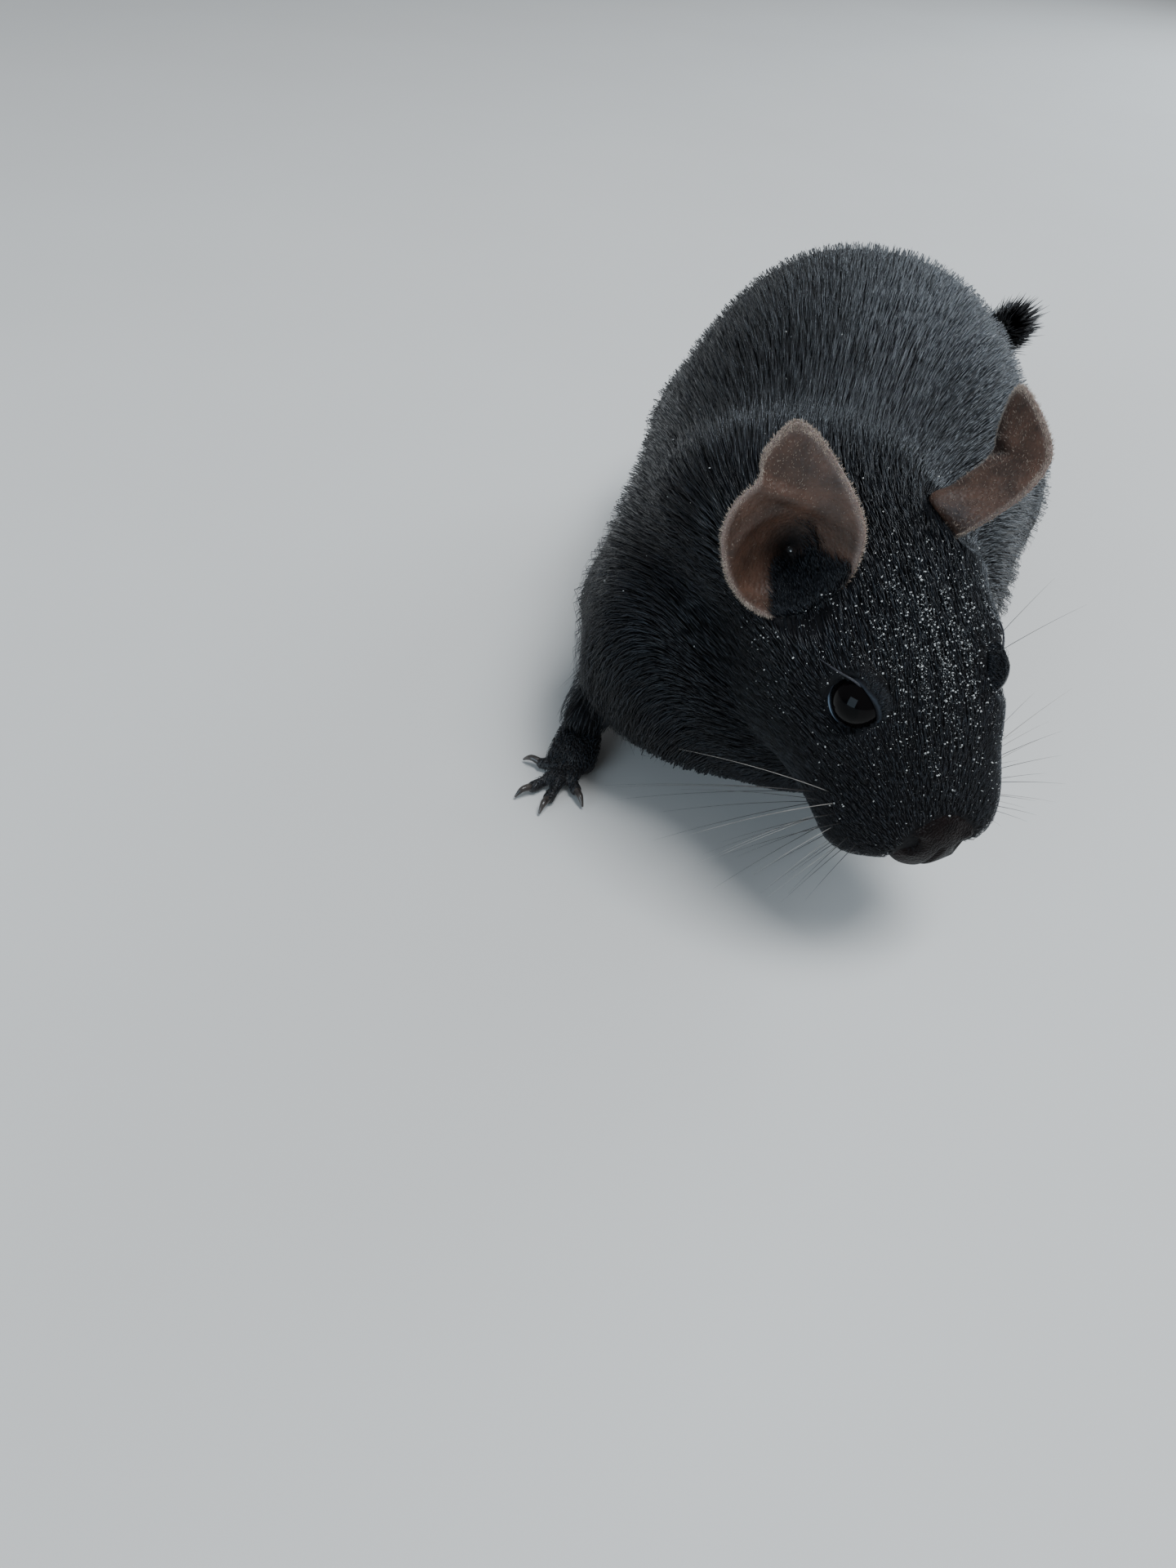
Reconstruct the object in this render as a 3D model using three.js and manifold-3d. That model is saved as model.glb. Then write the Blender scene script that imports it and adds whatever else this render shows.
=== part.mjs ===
// A degu, life size, as a still model: it crouches on all four feet with its
// head lowered and turned to its left. Millimetres, +Z up, the animal faces -Y,
// its left side is +X and the floor is z = 0.

import * as THREE from 'three';
import { mergeVertices } from 'three/addons/utils/BufferGeometryUtils.js';
import Module from 'manifold-3d';

const wasm = await Module();
wasm.setup();

const V = ( x, y, z ) => new THREE.Vector3( x, y, z );
const bell = ( x ) => Math.exp( - x * x );
const rad = THREE.MathUtils.degToRad;

// Driving dimensions

const GAP = 0.3;               // clearance between neighbouring pieces

const NOSE = V( 25.6, - 77.5, 23 );  // tip of the nose
const HEAD_YAW = 40;           // degrees, head turned to the animal's left
const HEAD_PITCH = 36;         // degrees, nose lowered
const HEAD_ROLL = - 5;         // degrees, left side of the head raised

const EYE = { right: 9.0, left: 8.4, back: 21.1, up: 9.4, radius: 3.7 };   // in head coordinates
const NOSE_PAD = { at: [ 0, 2.9, - 0.6 ], radii: [ 6.0, 3.1, 5.4 ], angles: [ - 28, 12, - 9 ] };
const NOSTRIL_RADII = [ 1.3, 1.5, 0.6 ];
const NOSTRILS = [             // right and left, in head coordinates
	{ at: [ - 3.8, 1.8, 1.6 ], angles: [ 0, - 28, - 30 ] },
	{ at: [ 3.8, 0.6, 0 ], angles: [ 0, 28, 30 ] },
];
const EAR = {
	length: 17.5, width: 17, depth: 5.6, skin: 0.9,
	sides: [                     // right and left ear, in head coordinates
		{ seat: [ - 14.3, 38.7, 12.5 ], tip: [ - 0.01, 0.70, 0.71 ], open: [ - 0.41, - 0.70, 0.58 ], lobe: 0.46 },
		{ seat: [ 15.2, 39.9, 12.1 ], tip: [ 0.53, 0.81, 0.24 ], open: [ 0.93, - 0.36, 0.03 ], lobe: 0.26 },
	],
};

const BACK_HEIGHT = 63;        // top of the back above the floor
const HALF_WIDTH = 36;         // widest half of the trunk, coat included

const TAIL_RADIUS = 4.2;       // at the root, coat included
const BRUSH = { from: 0.66, locks: 32, length: 13, width: 1.9, thick: 0.8, seed: 7 };

// Toes as spread outwards in degrees and reach from the ball of the foot, outer
// toe first; the right forefoot is splayed.
const FORE = {
	toeRadius: 1.15, claw: 2.4,
	spreadRight: [ [ 98, 6.2 ], [ 38, 8.4 ], [ 8, 8.6 ], [ - 36, 6.0 ] ],
	spreadLeft: [ [ 46, 6.8 ], [ 17, 8.4 ], [ - 4, 8.6 ], [ - 28, 7.0 ] ],
};
const HIND = {
	toeRadius: 1.35, claw: 2.8, heading: 8, length: 27,
	spread: [ [ 34, 8.6 ], [ 14, 10.6 ], [ 0, 11.2 ], [ - 14, 10.4 ], [ - 38, 6.4 ] ],
};

// Rows of numbers eased into a finer table: every column runs through its
// values as a Catmull-Rom curve.

function ease( rows, count ) {

	const out = [];

	for ( let i = 0; i < count; i ++ ) {

		const t = i / ( count - 1 ) * ( rows.length - 1 );
		const k = Math.min( Math.floor( t ), rows.length - 2 );
		const f = t - k;
		const a = rows[ Math.max( k - 1, 0 ) ], b = rows[ k ];
		const c = rows[ k + 1 ], d = rows[ Math.min( k + 2, rows.length - 1 ) ];

		out.push( b.map( ( _, j ) => b[ j ] + 0.5 * f * ( c[ j ] - a[ j ] +
			f * ( 2 * a[ j ] - 5 * b[ j ] + 4 * c[ j ] - d[ j ] +
			f * ( 3 * ( b[ j ] - c[ j ] ) + d[ j ] - a[ j ] ) ) ) ) );

	}

	return out;

}

// A closed body round a centre line. Each row is x, y, z of the line, half the
// width, the height above the line and the depth below it. Both ends are round
// over the lengths start and end, and grow swells the whole body.

function loft( rows, { around = 28, step = 4, start = 4, end = 4, dome = 4, square = 2.2, grow = 0, up = V( 0, 0, 1 ), bulges = [] } = {} ) {

	const fine = ease( rows, 160 );
	const reach = [ 0 ];

	for ( let i = 1; i < fine.length; i ++ ) {

		reach.push( reach[ i - 1 ] + Math.hypot( ...[ 0, 1, 2 ].map( ( j ) => fine[ i ][ j ] - fine[ i - 1 ][ j ] ) ) );

	}

	const total = reach.at( - 1 );
	const cap = Array.from( { length: dome }, ( _, k ) => 1 - Math.cos( k / dome * Math.PI / 2 ) );
	const middle = Math.max( 1, Math.round( ( total - start - end ) / step ) );
	const stations = cap.map( ( d ) => d * start );

	for ( let k = 0; k <= middle; k ++ ) stations.push( start + ( total - start - end ) * k / middle );

	stations.push( ...cap.reverse().map( ( d ) => total - d * end ) );

	const at = ( s ) => {

		let i = reach.findIndex( ( r ) => r >= s );
		i = i < 1 ? ( i < 0 ? fine.length - 1 : 1 ) : i;
		const f = ( s - reach[ i - 1 ] ) / ( reach[ i ] - reach[ i - 1 ] );
		return fine[ i ].map( ( v, j ) => fine[ i - 1 ][ j ] + ( v - fine[ i - 1 ][ j ] ) * f );

	};

	const positions = [];
	const power = 2 / square;
	const bend = ( v ) => Math.sign( v ) * Math.abs( v ) ** power;

	stations.forEach( ( s, i ) => {

		const row = at( s );
		const a = at( Math.max( s - 0.5, 0 ) ), b = at( Math.min( s + 0.5, total ) );
		const along = V( b[ 0 ] - a[ 0 ], b[ 1 ] - a[ 1 ], b[ 2 ] - a[ 2 ] ).normalize();
		const side = along.clone().cross( up ).normalize();
		const top = side.clone().cross( along );
		const round = ( d, length ) => Math.sqrt( 1 - ( 1 - Math.min( d / length, 1 ) ) ** 2 );
		const swell = Math.min( round( s, start ), round( total - s, end ) );
		const push = ( 1 - swell ) * grow * ( s < total / 2 ? - 1 : 1 );
		const centre = V( row[ 0 ], row[ 1 ], row[ 2 ] ).addScaledVector( along, push );

		if ( i === 0 || i === stations.length - 1 ) {

			positions.push( ...centre );
			return;

		}

		for ( let j = 0; j < around; j ++ ) {

			const angle = j / around * 2 * Math.PI;
			const c = bend( Math.cos( angle ) ), n = bend( Math.sin( angle ) );
			const height = n > 0 ? row[ 4 ] : row[ 5 ];
			const point = centre.clone()
				.addScaledVector( side, swell * ( row[ 3 ] + grow ) * c )
				.addScaledVector( top, swell * ( height + grow ) * n );
			const moves = bulges.map( ( { at, size, push } ) => push.clone().multiplyScalar( bell( point.distanceTo( at ) / size ) ) );
			moves.forEach( ( move ) => point.add( move ) );
			positions.push( ...point );

		}

	} );

	const index = [];
	const rings = stations.length - 2;
	const last = 1 + rings * around;

	for ( let j = 0; j < around; j ++ ) {

		const k = ( j + 1 ) % around;
		index.push( 0, 1 + j, 1 + k );

		for ( let i = 0; i < rings - 1; i ++ ) {

			const a = 1 + i * around, b = a + around;
			index.push( a + j, b + j, b + k, a + j, b + k, a + k );

		}

		index.push( last, last - around + k, last - around + j );

	}

	const geometry = new THREE.BufferGeometry();
	geometry.setAttribute( 'position', new THREE.Float32BufferAttribute( positions, 3 ) );
	geometry.setIndex( index );
	return geometry;

}

// A round tube is a loft whose rows hold x, y, z and one radius.

function tube( rows, options = {} ) {

	const radius = Math.min( rows[ 0 ][ 3 ], rows.at( - 1 )[ 3 ] );
	return loft( rows.map( ( [ x, y, z, r ] ) => [ x, y, z, r, r, r ] ),
		{ around: 12, step: 3, start: radius, end: radius, dome: 3, square: 2, ...options } );

}

// An ellipsoid with half sizes rx, ry, rz, turned by three angles in degrees.

function ellipsoid( centre, [ rx, ry, rz ], [ ax, ay, az ] = [ 0, 0, 0 ], grow = 0, detail = 24 ) {

	const geometry = new THREE.SphereGeometry( 1, detail, Math.round( detail * 0.6 ) );
	const turn = new THREE.Quaternion().setFromEuler( new THREE.Euler( rad( ax ), rad( ay ), rad( az ), 'ZYX' ) );
	return geometry.applyMatrix4( new THREE.Matrix4().compose( centre, turn, V( rx + grow, ry + grow, rz + grow ) ) );

}

// Joins and cuts

function solid( geometry ) {

	const bare = new THREE.BufferGeometry();
	bare.setAttribute( 'position', geometry.getAttribute( 'position' ) );
	bare.setIndex( geometry.getIndex() );
	const merged = mergeVertices( bare, 1e-4 );

	return new wasm.Manifold( new wasm.Mesh( {
		numProp: 3,
		vertProperties: new Float32Array( merged.getAttribute( 'position' ).array ),
		triVerts: new Uint32Array( merged.getIndex().array )
	} ) );

}

const union = ( ...geometries ) => geometries.map( solid ).reduce( ( a, b ) => a.add( b ) );

function largest( body ) {

	return body.decompose().reduce( ( a, b ) => b.volume() > a.volume() ? b : a );

}

function geometryOf( body ) {

	const mesh = largest( body ).getMesh();
	const geometry = new THREE.BufferGeometry();
	geometry.setAttribute( 'position', new THREE.Float32BufferAttribute( mesh.vertProperties, 3 ) );
	geometry.setIndex( new THREE.Uint32BufferAttribute( mesh.triVerts, 1 ) );
	geometry.computeVertexNormals();
	return geometry;

}

// A thick plate whose front face passes through a point and looks along a
// direction: subtracting it leaves what lies behind that face.

function behind( point, direction, shift = 0 ) {

	const size = 300;
	const plate = new THREE.BoxGeometry( size, size, size ).translate( 0, 0, size / 2 );
	const turn = new THREE.Quaternion().setFromUnitVectors( V( 0, 0, 1 ), direction.clone().normalize() );
	plate.applyQuaternion( turn );
	const moved = point.clone().addScaledVector( direction.clone().normalize(), shift );
	return solid( plate.translate( moved.x, moved.y, moved.z ) );

}

// Head coordinates: x to the animal's left, y back from the tip of the nose,
// z up through the crown.

const headFrame = new THREE.Matrix4().makeRotationFromEuler(
	new THREE.Euler( rad( HEAD_PITCH ), rad( HEAD_ROLL ), rad( HEAD_YAW ), 'ZXY' ) ).setPosition( NOSE );
const headPoint = ( x, y, z ) => V( x, y, z ).applyMatrix4( headFrame );
const headDirection = ( x, y, z ) => V( x, y, z ).transformDirection( headFrame );

// Skull and muzzle as one form. Rows run from the nose back: 0, distance back,
// height of the line, half width, rise, drop. Soft bulges add the whisker pads,
// brows and cheeks, and a hollow lies before each eye. The tip of the muzzle is
// twitched to the left, as it is when the animal sniffs.

const HEAD_ROWS = [
	[ 0, 0.8, - 2.8, 7.4, 3.6, 7.2 ],
	[ 0, 4, - 1.8, 10.7, 5.6, 11.8 ],
	[ 0, 9, - 0.4, 12.4, 7.8, 14.6 ],
	[ 0, 15, 1.0, 14.1, 10.4, 17.2 ],
	[ 0, 21, 1.8, 15.4, 12.0, 18.6 ],
	[ 0, 29, 1.6, 16.8, 13.0, 19.4 ],
	[ 0, 38, 0.6, 17.4, 13.2, 19.2 ],
	[ 0, 46, - 1.6, 18.0, 13.0, 18.6 ],
	[ 0, 56, - 5.0, 18.4, 12.6, 17.0 ],
];

const headBulges = [ - 1, 1 ].flatMap( ( s ) => [
	{ at: V( 6.0 * s, 1.4, - 2.8 ), size: 4.5, push: s < 0 ? V( 0, - 0.2, - 0.5 ) : V( 1.3, - 1.4, 0 ) },
	{ at: V( 9.0 * s, 7.5, - 5.0 ), size: 5.5, push: V( 1.2 * s, - 0.8, - 0.3 ) },
	{ at: V( 11.2 * s, 22, 12.0 ), size: 4.6, push: V( 0.9 * s, 0, 1.3 ) },
	{ at: V( 15.0 * s, 28, - 9.0 ), size: 9.5, push: V( 1.8 * s, 0, - 2.0 ) },
	{ at: V( 11.0 * s, 12.5, 5.0 ), size: 4.0, push: V( - 0.9 * s, 0, - 0.5 ) },
	{ at: V( 13.2 * s, 20.5, 8.4 ), size: 4.4, push: V( - 1.8 * s, 0.2, - 0.3 ) },
] );

const headForm = ( grow = 0 ) => loft( HEAD_ROWS,
	{ around: 30, step: 3.6, start: 3.6, end: 8, square: 2.4, grow, bulges: headBulges } ).applyMatrix4( headFrame );

// Trunk from the chest to the rump. Rows: x, y, z of the line, half width,
// rise and drop.

function trunkForm( grow = 0 ) {

	const w = HALF_WIDTH, top = BACK_HEIGHT;

	return loft( [
		[ - 6, - 65, 18, w * 0.58, 15, 11 ],
		[ - 5, - 49, 22, w * 0.78, 26, 14.5 ],
		[ - 3, - 34, 25, w * 0.87, top - 30, 17 ],
		[ - 1, - 18, 28, w * 0.92, top - 30, 20 ],
		[ - 0.5, 0, 30, w * 0.95, top - 30, 23 ],
		[ - 0.7, 20, 31, w * 0.93, top - 30.8, 24 ],
		[ - 1.7, 40, 30, w * 0.85, top - 32.0, 24 ],
		[ - 2.2, 56, 27, w * 0.74, top - 37.2, 22 ],
		[ - 2.2, 68, 24, w * 0.60, top - 42.5, 18.5 ],
		[ - 2, 77, 21, w * 0.44, top - 48, 13.5 ],
	], { around: 28, step: 8.5, start: 10, end: 13, square: 2.15, grow } );

}

// The neck bends from the shoulders into the back of the head.

function neckForm( grow = 0 ) {

	const a = headPoint( 0, 36, - 1 ), b = headPoint( 0, 50, - 3 );

	return loft( [
		[ a.x, a.y, a.z, 15.5, 12.5, 16 ],
		[ b.x - 1, b.y, b.z, 21.5, 14.5, 20 ],
		[ - 2, - 32, 37, 26.5, 20, 20 ],
		[ - 1, - 16, 36, 29, 23, 20 ],
	], { around: 28, step: 6, start: 8, end: 8, square: 2.1, grow } );

}

// Head and neck lie against the front of the trunk and are parted behind the
// ears by one thin cut.

const NAPE = { at: headPoint( 0, 47, 0 ), look: V( 0.52, - 0.84, - 0.12 ) };

const trunkRoom = solid( trunkForm( GAP ) );
const headRoom = union( neckForm( GAP ), headForm( GAP ) );
const front = union( neckForm(), headForm() ).subtract( trunkRoom );

let torso = solid( trunkForm() );
let neck = front.subtract( behind( NAPE.at, NAPE.look, - GAP / 2 ) );
let head = front.intersect( behind( NAPE.at, NAPE.look, GAP / 2 ) );

// Eyes: a ball in a socket, with both lids as one raised rim that is drawn out
// to a corner at the front and at the back.

const SIDES = [ { name: 'right', s: - 1 }, { name: 'left', s: 1 } ];
const eyeSeat = ( s ) => V( s < 0 ? - EYE.right : EYE.left, EYE.back, EYE.up );
const eyeCentre = ( s ) => headPoint( ...eyeSeat( s ) );
const eyeBall = ( s, grow = 0 ) => ellipsoid( eyeCentre( s ), [ EYE.radius, EYE.radius, EYE.radius ], [ 0, 0, 0 ], grow, 14 );

const eyeLook = ( s ) => V( 0.86 * s, - 0.34, 0.38 ).normalize();

// The slit between the lids, as a ball cut out in front of the eye.

const lidOpening = ( s ) => ellipsoid( eyeSeat( s ).addScaledVector( eyeLook( s ), 2.4 ), [ 2.6, 2.6, 2.6 ], [ 0, 0, 0 ], 0, 14 ).applyMatrix4( headFrame );

function lidRim( s ) {

	const look = eyeLook( s );
	const forward = V( 0, - 1, 0 ).projectOnPlane( look ).normalize();
	const rim = new THREE.TorusGeometry( EYE.radius * 0.90, 0.85, 6, 20 );
	const p = rim.getAttribute( 'position' );

	for ( let i = 0; i < p.count; i ++ ) {

		const c = p.getX( i ) / EYE.radius;
		p.setXYZ( i, p.getX( i ) * ( 1 + 0.12 * c * c ), p.getY( i ) * 0.98, p.getZ( i ) - 0.7 * c * c );

	}

	const basis = new THREE.Matrix4().makeBasis( forward, look.clone().cross( forward ), look );
	const seat = eyeSeat( s ).addScaledVector( look, EYE.radius * 0.42 );
	return rim.applyMatrix4( basis.setPosition( seat ) ).applyMatrix4( headFrame );

}

// Ears: a thin cupped sheet on a short fleshy root. The sheet lies in its own
// axes: a to the tip, b to the rear edge, c out of the opening.

const earOf = ( s ) => EAR.sides[ s < 0 ? 0 : 1 ];

function earAxes( s ) {

	const { seat, tip, open } = earOf( s );
	const a = headDirection( ...tip );
	const c = headDirection( ...open ).projectOnPlane( a ).normalize();
	const b = c.clone().cross( a ).multiplyScalar( - s );
	return { a, b, c, origin: headPoint( ...seat ) };

}

// Edge of the ear, as distances along a and b from the canal: an oval that
// narrows to the tip, with a step in its rear edge below the tip and a lobe
// below the canal.

function earEdge( angle, s ) {

	const c = Math.cos( angle ), n = Math.sin( angle );
	const lobe = earOf( s ).lobe;
	const along = EAR.length * ( ( 1 - lobe ) / 2 + ( 1 + lobe ) / 2 * c );
	const taper = 1 - 0.46 * Math.max( c, 0 ) ** 1.3;
	const step = n > 0 ? 1.9 * bell( ( c - 0.52 ) / 0.16 ) : 0;
	return [ along, ( EAR.width / 2 * taper - step ) * n ];

}

// Depth of the sheet: a bowl round the canal, edges that curl to the opening
// and a tip that bends a little back.

function earDepth( a, b ) {

	return - EAR.depth * bell( Math.hypot( a, b ) / 6.8 ) + 0.034 * b * b - 0.005 * Math.max( a, 0 ) ** 2;

}

function earSheet( s, grow = 0 ) {

	const { a, b, c, origin } = earAxes( s );
	const rings = 5, around = 24;
	const front = [], back = [];

	const point = ( u, v ) => {

		const e = 0.02;
		const slopeA = ( earDepth( u + e, v ) - earDepth( u - e, v ) ) / ( 2 * e );
		const slopeB = ( earDepth( u, v + e ) - earDepth( u, v - e ) ) / ( 2 * e );
		const normal = V( - slopeA, - slopeB, 1 ).normalize();
		return { at: V( u, v, earDepth( u, v ) ), normal };

	};

	for ( let k = 0; k <= rings; k ++ ) {

		for ( let j = 0; j < ( k === 0 ? 1 : around ); j ++ ) {

			const angle = j / around * 2 * Math.PI;
			const [ u, v ] = earEdge( angle, s ).map( ( e ) => e * k / rings );
			const { at, normal } = point( u, v );
			const out = k === rings ? V( Math.cos( angle ), Math.sin( angle ), 0 ).multiplyScalar( grow ) : V( 0, 0, 0 );
			const thick = EAR.skin / 2 * ( k === rings ? 0.75 : 1 ) + grow;
			front.push( at.clone().add( out ).addScaledVector( normal, thick ) );
			back.push( at.clone().add( out ).addScaledVector( normal, - thick ) );

		}

	}

	const index = [];
	const n = front.length;
	const id = ( k, j ) => k === 0 ? 0 : 1 + ( k - 1 ) * around + ( j % around );
	const face = ( p, q, r ) => index.push( p, q, r, p + n, r + n, q + n );

	for ( let j = 0; j < around; j ++ ) {

		face( 0, id( 1, j ), id( 1, j + 1 ) );

		for ( let k = 1; k < rings; k ++ ) {

			face( id( k, j ), id( k + 1, j ), id( k + 1, j + 1 ) );
			face( id( k, j ), id( k + 1, j + 1 ), id( k, j + 1 ) );

		}

		const p = id( rings, j ), q = id( rings, j + 1 );
		index.push( p, p + n, q + n, p, q + n, q );

	}

	const geometry = new THREE.BufferGeometry();
	geometry.setAttribute( 'position', new THREE.Float32BufferAttribute( [ ...front, ...back ].flatMap( ( p ) => [ ...p ] ), 3 ) );
	geometry.setIndex( s < 0 ? index : flip( index ) );
	return geometry.applyMatrix4( new THREE.Matrix4().makeBasis( a, b, c ).setPosition( origin ) );

}

// Turns every triangle over.

function flip( index ) {

	return index.map( ( v, i ) => i % 3 === 0 ? v : index[ i + ( i % 3 === 1 ? 1 : - 1 ) ] );

}

// The root is a fleshy pad, half sunk in the head, that the bowl is hollowed
// out of.

const earRoot = ( s, grow = 0 ) => {

	const [ x, y, z ] = earOf( s ).seat;
	return ellipsoid( V( x - 3 * s, y + 0.5, z - 4.2 ), [ 5.6, 6.8, 6.4 ], [ 0, 0, 0 ], grow, 12 ).applyMatrix4( headFrame );

};

function earBowl( s ) {

	const { a, b, c, origin } = earAxes( s );
	const bowl = new THREE.SphereGeometry( 1, 12, 7 ).scale( 7, 7, EAR.depth + 2.2 );
	const seat = origin.clone().addScaledVector( c, 2.8 );
	return bowl.applyMatrix4( new THREE.Matrix4().makeBasis( a, b.multiplyScalar( - s ), c ).setPosition( seat ) );

}

const earCanal = ( s ) => {

	const { a, c, origin } = earAxes( s );
	const mouth = origin.clone().addScaledVector( c, - EAR.depth + 1.6 );
	const pit = mouth.clone().addScaledVector( c, - 3.6 ).addScaledVector( a, - 0.6 );
	return tube( [ [ ...mouth, 2.3 ], [ ...pit, 1.2 ] ], { around: 10, step: 3, start: 0.6, end: 0.6, dome: 1, up: a } );

};

// Legs. Rows are given for the left side and mirrored for the right; the right
// forefoot stands further forward than the left one.

const stride = ( s ) => s < 0 ? { x: - 31, y: - 50 } : { x: 23.5, y: - 38 };

const upperArm = ( s, grow = 0 ) => {

	const foot = stride( s );
	return loft( [
		[ foot.x * 0.62, foot.y + 21, 36, 9, 11, 11 ],
		[ foot.x * 0.80, foot.y + 15, 26, 10.5, 14, 13 ],
		[ foot.x * 0.92, foot.y + 10, 15, 8.5, 10, 9 ],
	], { around: 16, step: 5, start: 6, end: 6, dome: 3, grow, up: V( 0, 1, 0 ) } );

};

const forearm = ( s, grow = 0 ) => {

	const foot = stride( s );
	return tube( [
		[ foot.x * 0.85, foot.y + 13, 14.5, 6.6 ],
		[ foot.x * 0.91, foot.y + 8, 10.5, 5.4 ],
		[ foot.x * 0.98, foot.y + 2.5, 7, 4.3 ],
	], { around: 14, step: 4, start: 4, end: 2.5, grow, up: V( 0, 1, 0 ) } );

};

const thigh = ( s, grow = 0 ) => ellipsoid( V( 26.3 * s, 31, 23 ), [ 13.5, 25, 17.5 ], [ - 12, 0, 5 * s ], grow, 20 );

const shank = ( s, grow = 0 ) => tube( [
	[ 29 * s, 17, 14, 8.0 ],
	[ 28.5 * s, 30, 12, 7.2 ],
	[ 26.5 * s, 43, 9, 5.6 ],
	[ 25.5 * s, 51, 7.5, 4.2 ],
], { around: 14, step: 6, start: 6, end: 3, grow } );

// Feet: a sole from wrist or heel to the ball and toes that arch down to the
// floor. Each toe is a spread angle, out from the foot's own line, and a reach.

function toeRows( foot, toe ) {

	const angle = rad( foot.heading + toe.spread ) * foot.s;
	const x = Math.sin( angle ), y = - Math.cos( angle );
	const root = V( foot.ball.x, foot.ball.y, 0 ).addScaledVector( V( x, y, 0 ), - 0.5 );
	const r = foot.toeRadius;
	const row = ( d, z, k ) => [ root.x + x * d, root.y + y * d, z, r * k ];
	const d = toe.reach, c = foot.claw;
	return {
		flesh: [ row( - 2.2, r * 1.4, 1.2 ), row( d * 0.4, r * 1.5, 1 ), row( d * 0.75, r * 1.15, 0.9 ), row( d, r * 0.93, 0.98 ) ],
		claw: [ row( d - 0.6, r * 1.2, 0.56 ), row( d + c * 0.5, r * 1.15, 0.42 ), row( d + c, r * 0.5, 0.16 ) ]
	};

}

const soleRows = ( foot ) => foot.sole.map( ( [ t, half, rise ] ) => {

	const p = foot.back.clone().lerp( foot.ball, t );
	return [ p.x, p.y, rise * 0.42, half, rise * 0.58, rise * 0.42 + 0.5 ];

} );

const footForm = ( foot, grow = 0 ) => [
	loft( soleRows( foot ), { around: 14, step: 8, start: 2.6, end: 2.6, dome: 2, square: 2.5, grow } ),
	...foot.toes.map( ( toe ) => tube( toeRows( foot, toe ).flesh, { around: 7, step: 4, start: 1, end: 1.1, dome: 2, grow } ) ),
];

const foreFoot = ( s ) => {

	const { x, y } = stride( s );
	return {
		s, heading: 0, toeRadius: FORE.toeRadius, claw: FORE.claw,
		back: V( x, y + 4.5, 0 ), ball: V( x - 0.4 * s, y - 6.5, 0 ),
		sole: [ [ 0, 3.2, 6.2 ], [ 0.45, 4.0, 5.0 ], [ 1, 4.3, 3.4 ] ],
		toes: ( s < 0 ? FORE.spreadRight : FORE.spreadLeft ).map( ( [ spread, reach ] ) => ( { spread, reach } ) )
	};

};

const hindFoot = ( s ) => ( {
	s, heading: HIND.heading, toeRadius: HIND.toeRadius, claw: HIND.claw,
	back: V( 25.5 * s, 53, 0 ), ball: V( ( 25.5 + HIND.length * Math.sin( rad( HIND.heading ) ) ) * s, 53 - HIND.length, 0 ),
	sole: [ [ 0, 3.4, 8.5 ], [ 0.3, 3.5, 7.0 ], [ 0.7, 4.2, 5.4 ], [ 1, 4.8, 4.2 ] ],
	toes: HIND.spread.map( ( [ spread, reach ] ) => ( { spread, reach } ) )
} );

const underFloor = solid( new THREE.BoxGeometry( 400, 400, 40 ).translate( 0, 0, - 20 ) );
const floorGrown = ( foot ) => union( ...footForm( foot, GAP ) );

// Tail: it leaves the rump low, sweeps out behind and hooks round to the
// animal's left with its brush raised.

const TAIL_ROWS = [
	[ 2, 66, 17, 1.5 ],
	[ 0, 76, 13.5, 1.22 ],
	[ - 7, 90, 9.0, 1.0 ],
	[ - 10, 105, 6.6, 0.86 ],
	[ - 1, 119, 7.6, 0.78 ],
	[ 15, 120, 14.5, 0.72 ],
	[ 25, 110, 24, 0.66 ],
	[ 29.5, 98, 33, 0.4 ],
].map( ( [ x, y, z, k ] ) => [ x, y, z, k * TAIL_RADIUS ] );

const tailCurve = new THREE.CatmullRomCurve3( TAIL_ROWS.map( ( [ x, y, z ] ) => V( x, y, z ) ) );
const tailRadius = ( t ) => {

	const k = t * ( TAIL_ROWS.length - 1 ), i = Math.min( Math.floor( k ), TAIL_ROWS.length - 2 );
	return TAIL_ROWS[ i ][ 3 ] + ( TAIL_ROWS[ i + 1 ][ 3 ] - TAIL_ROWS[ i ][ 3 ] ) * ( k - i );

};

const tailForm = ( grow = 0 ) => tube( TAIL_ROWS, { around: 12, step: 4.5, start: 3, end: 4, grow } );

// One bristle lock: a flat blade with four edges that widens, bends back to
// the tail's line and runs out to a point.

function lock( root, along, out, length, width, thick, lift ) {

	const side = along.clone().cross( out ).normalize();
	const positions = [], index = [];
	const steps = [ [ - 0.10, 0.75 ], [ 0.25, 1 ], [ 0.6, 0.72 ] ];
	const line = ( t ) => root.clone()
		.addScaledVector( along, length * t )
		.addScaledVector( out, lift * length * t * ( 1 - 0.55 * t ) );

	steps.forEach( ( [ t, k ] ) => {

		const p = line( t );
		positions.push(
			...p.clone().addScaledVector( side, width / 2 * k ), ...p.clone().addScaledVector( out, thick / 2 * k ),
			...p.clone().addScaledVector( side, - width / 2 * k ), ...p.clone().addScaledVector( out, - thick / 2 * k ) );

	} );

	positions.push( ...line( 1 ) );
	index.push( 0, 1, 2, 0, 2, 3 );

	for ( let j = 0; j < 4; j ++ ) {

		const k = ( j + 1 ) % 4;

		for ( let i = 0; i < 8; i += 4 ) index.push( i + j, i + 4 + j, i + 4 + k, i + j, i + 4 + k, i + k );

		index.push( 8 + j, 12, 8 + k );

	}

	const geometry = new THREE.BufferGeometry();
	geometry.setAttribute( 'position', new THREE.Float32BufferAttribute( positions, 3 ) );
	geometry.setIndex( index );
	return geometry;

}

// Repeatable draws between 0 and 1.

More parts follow.
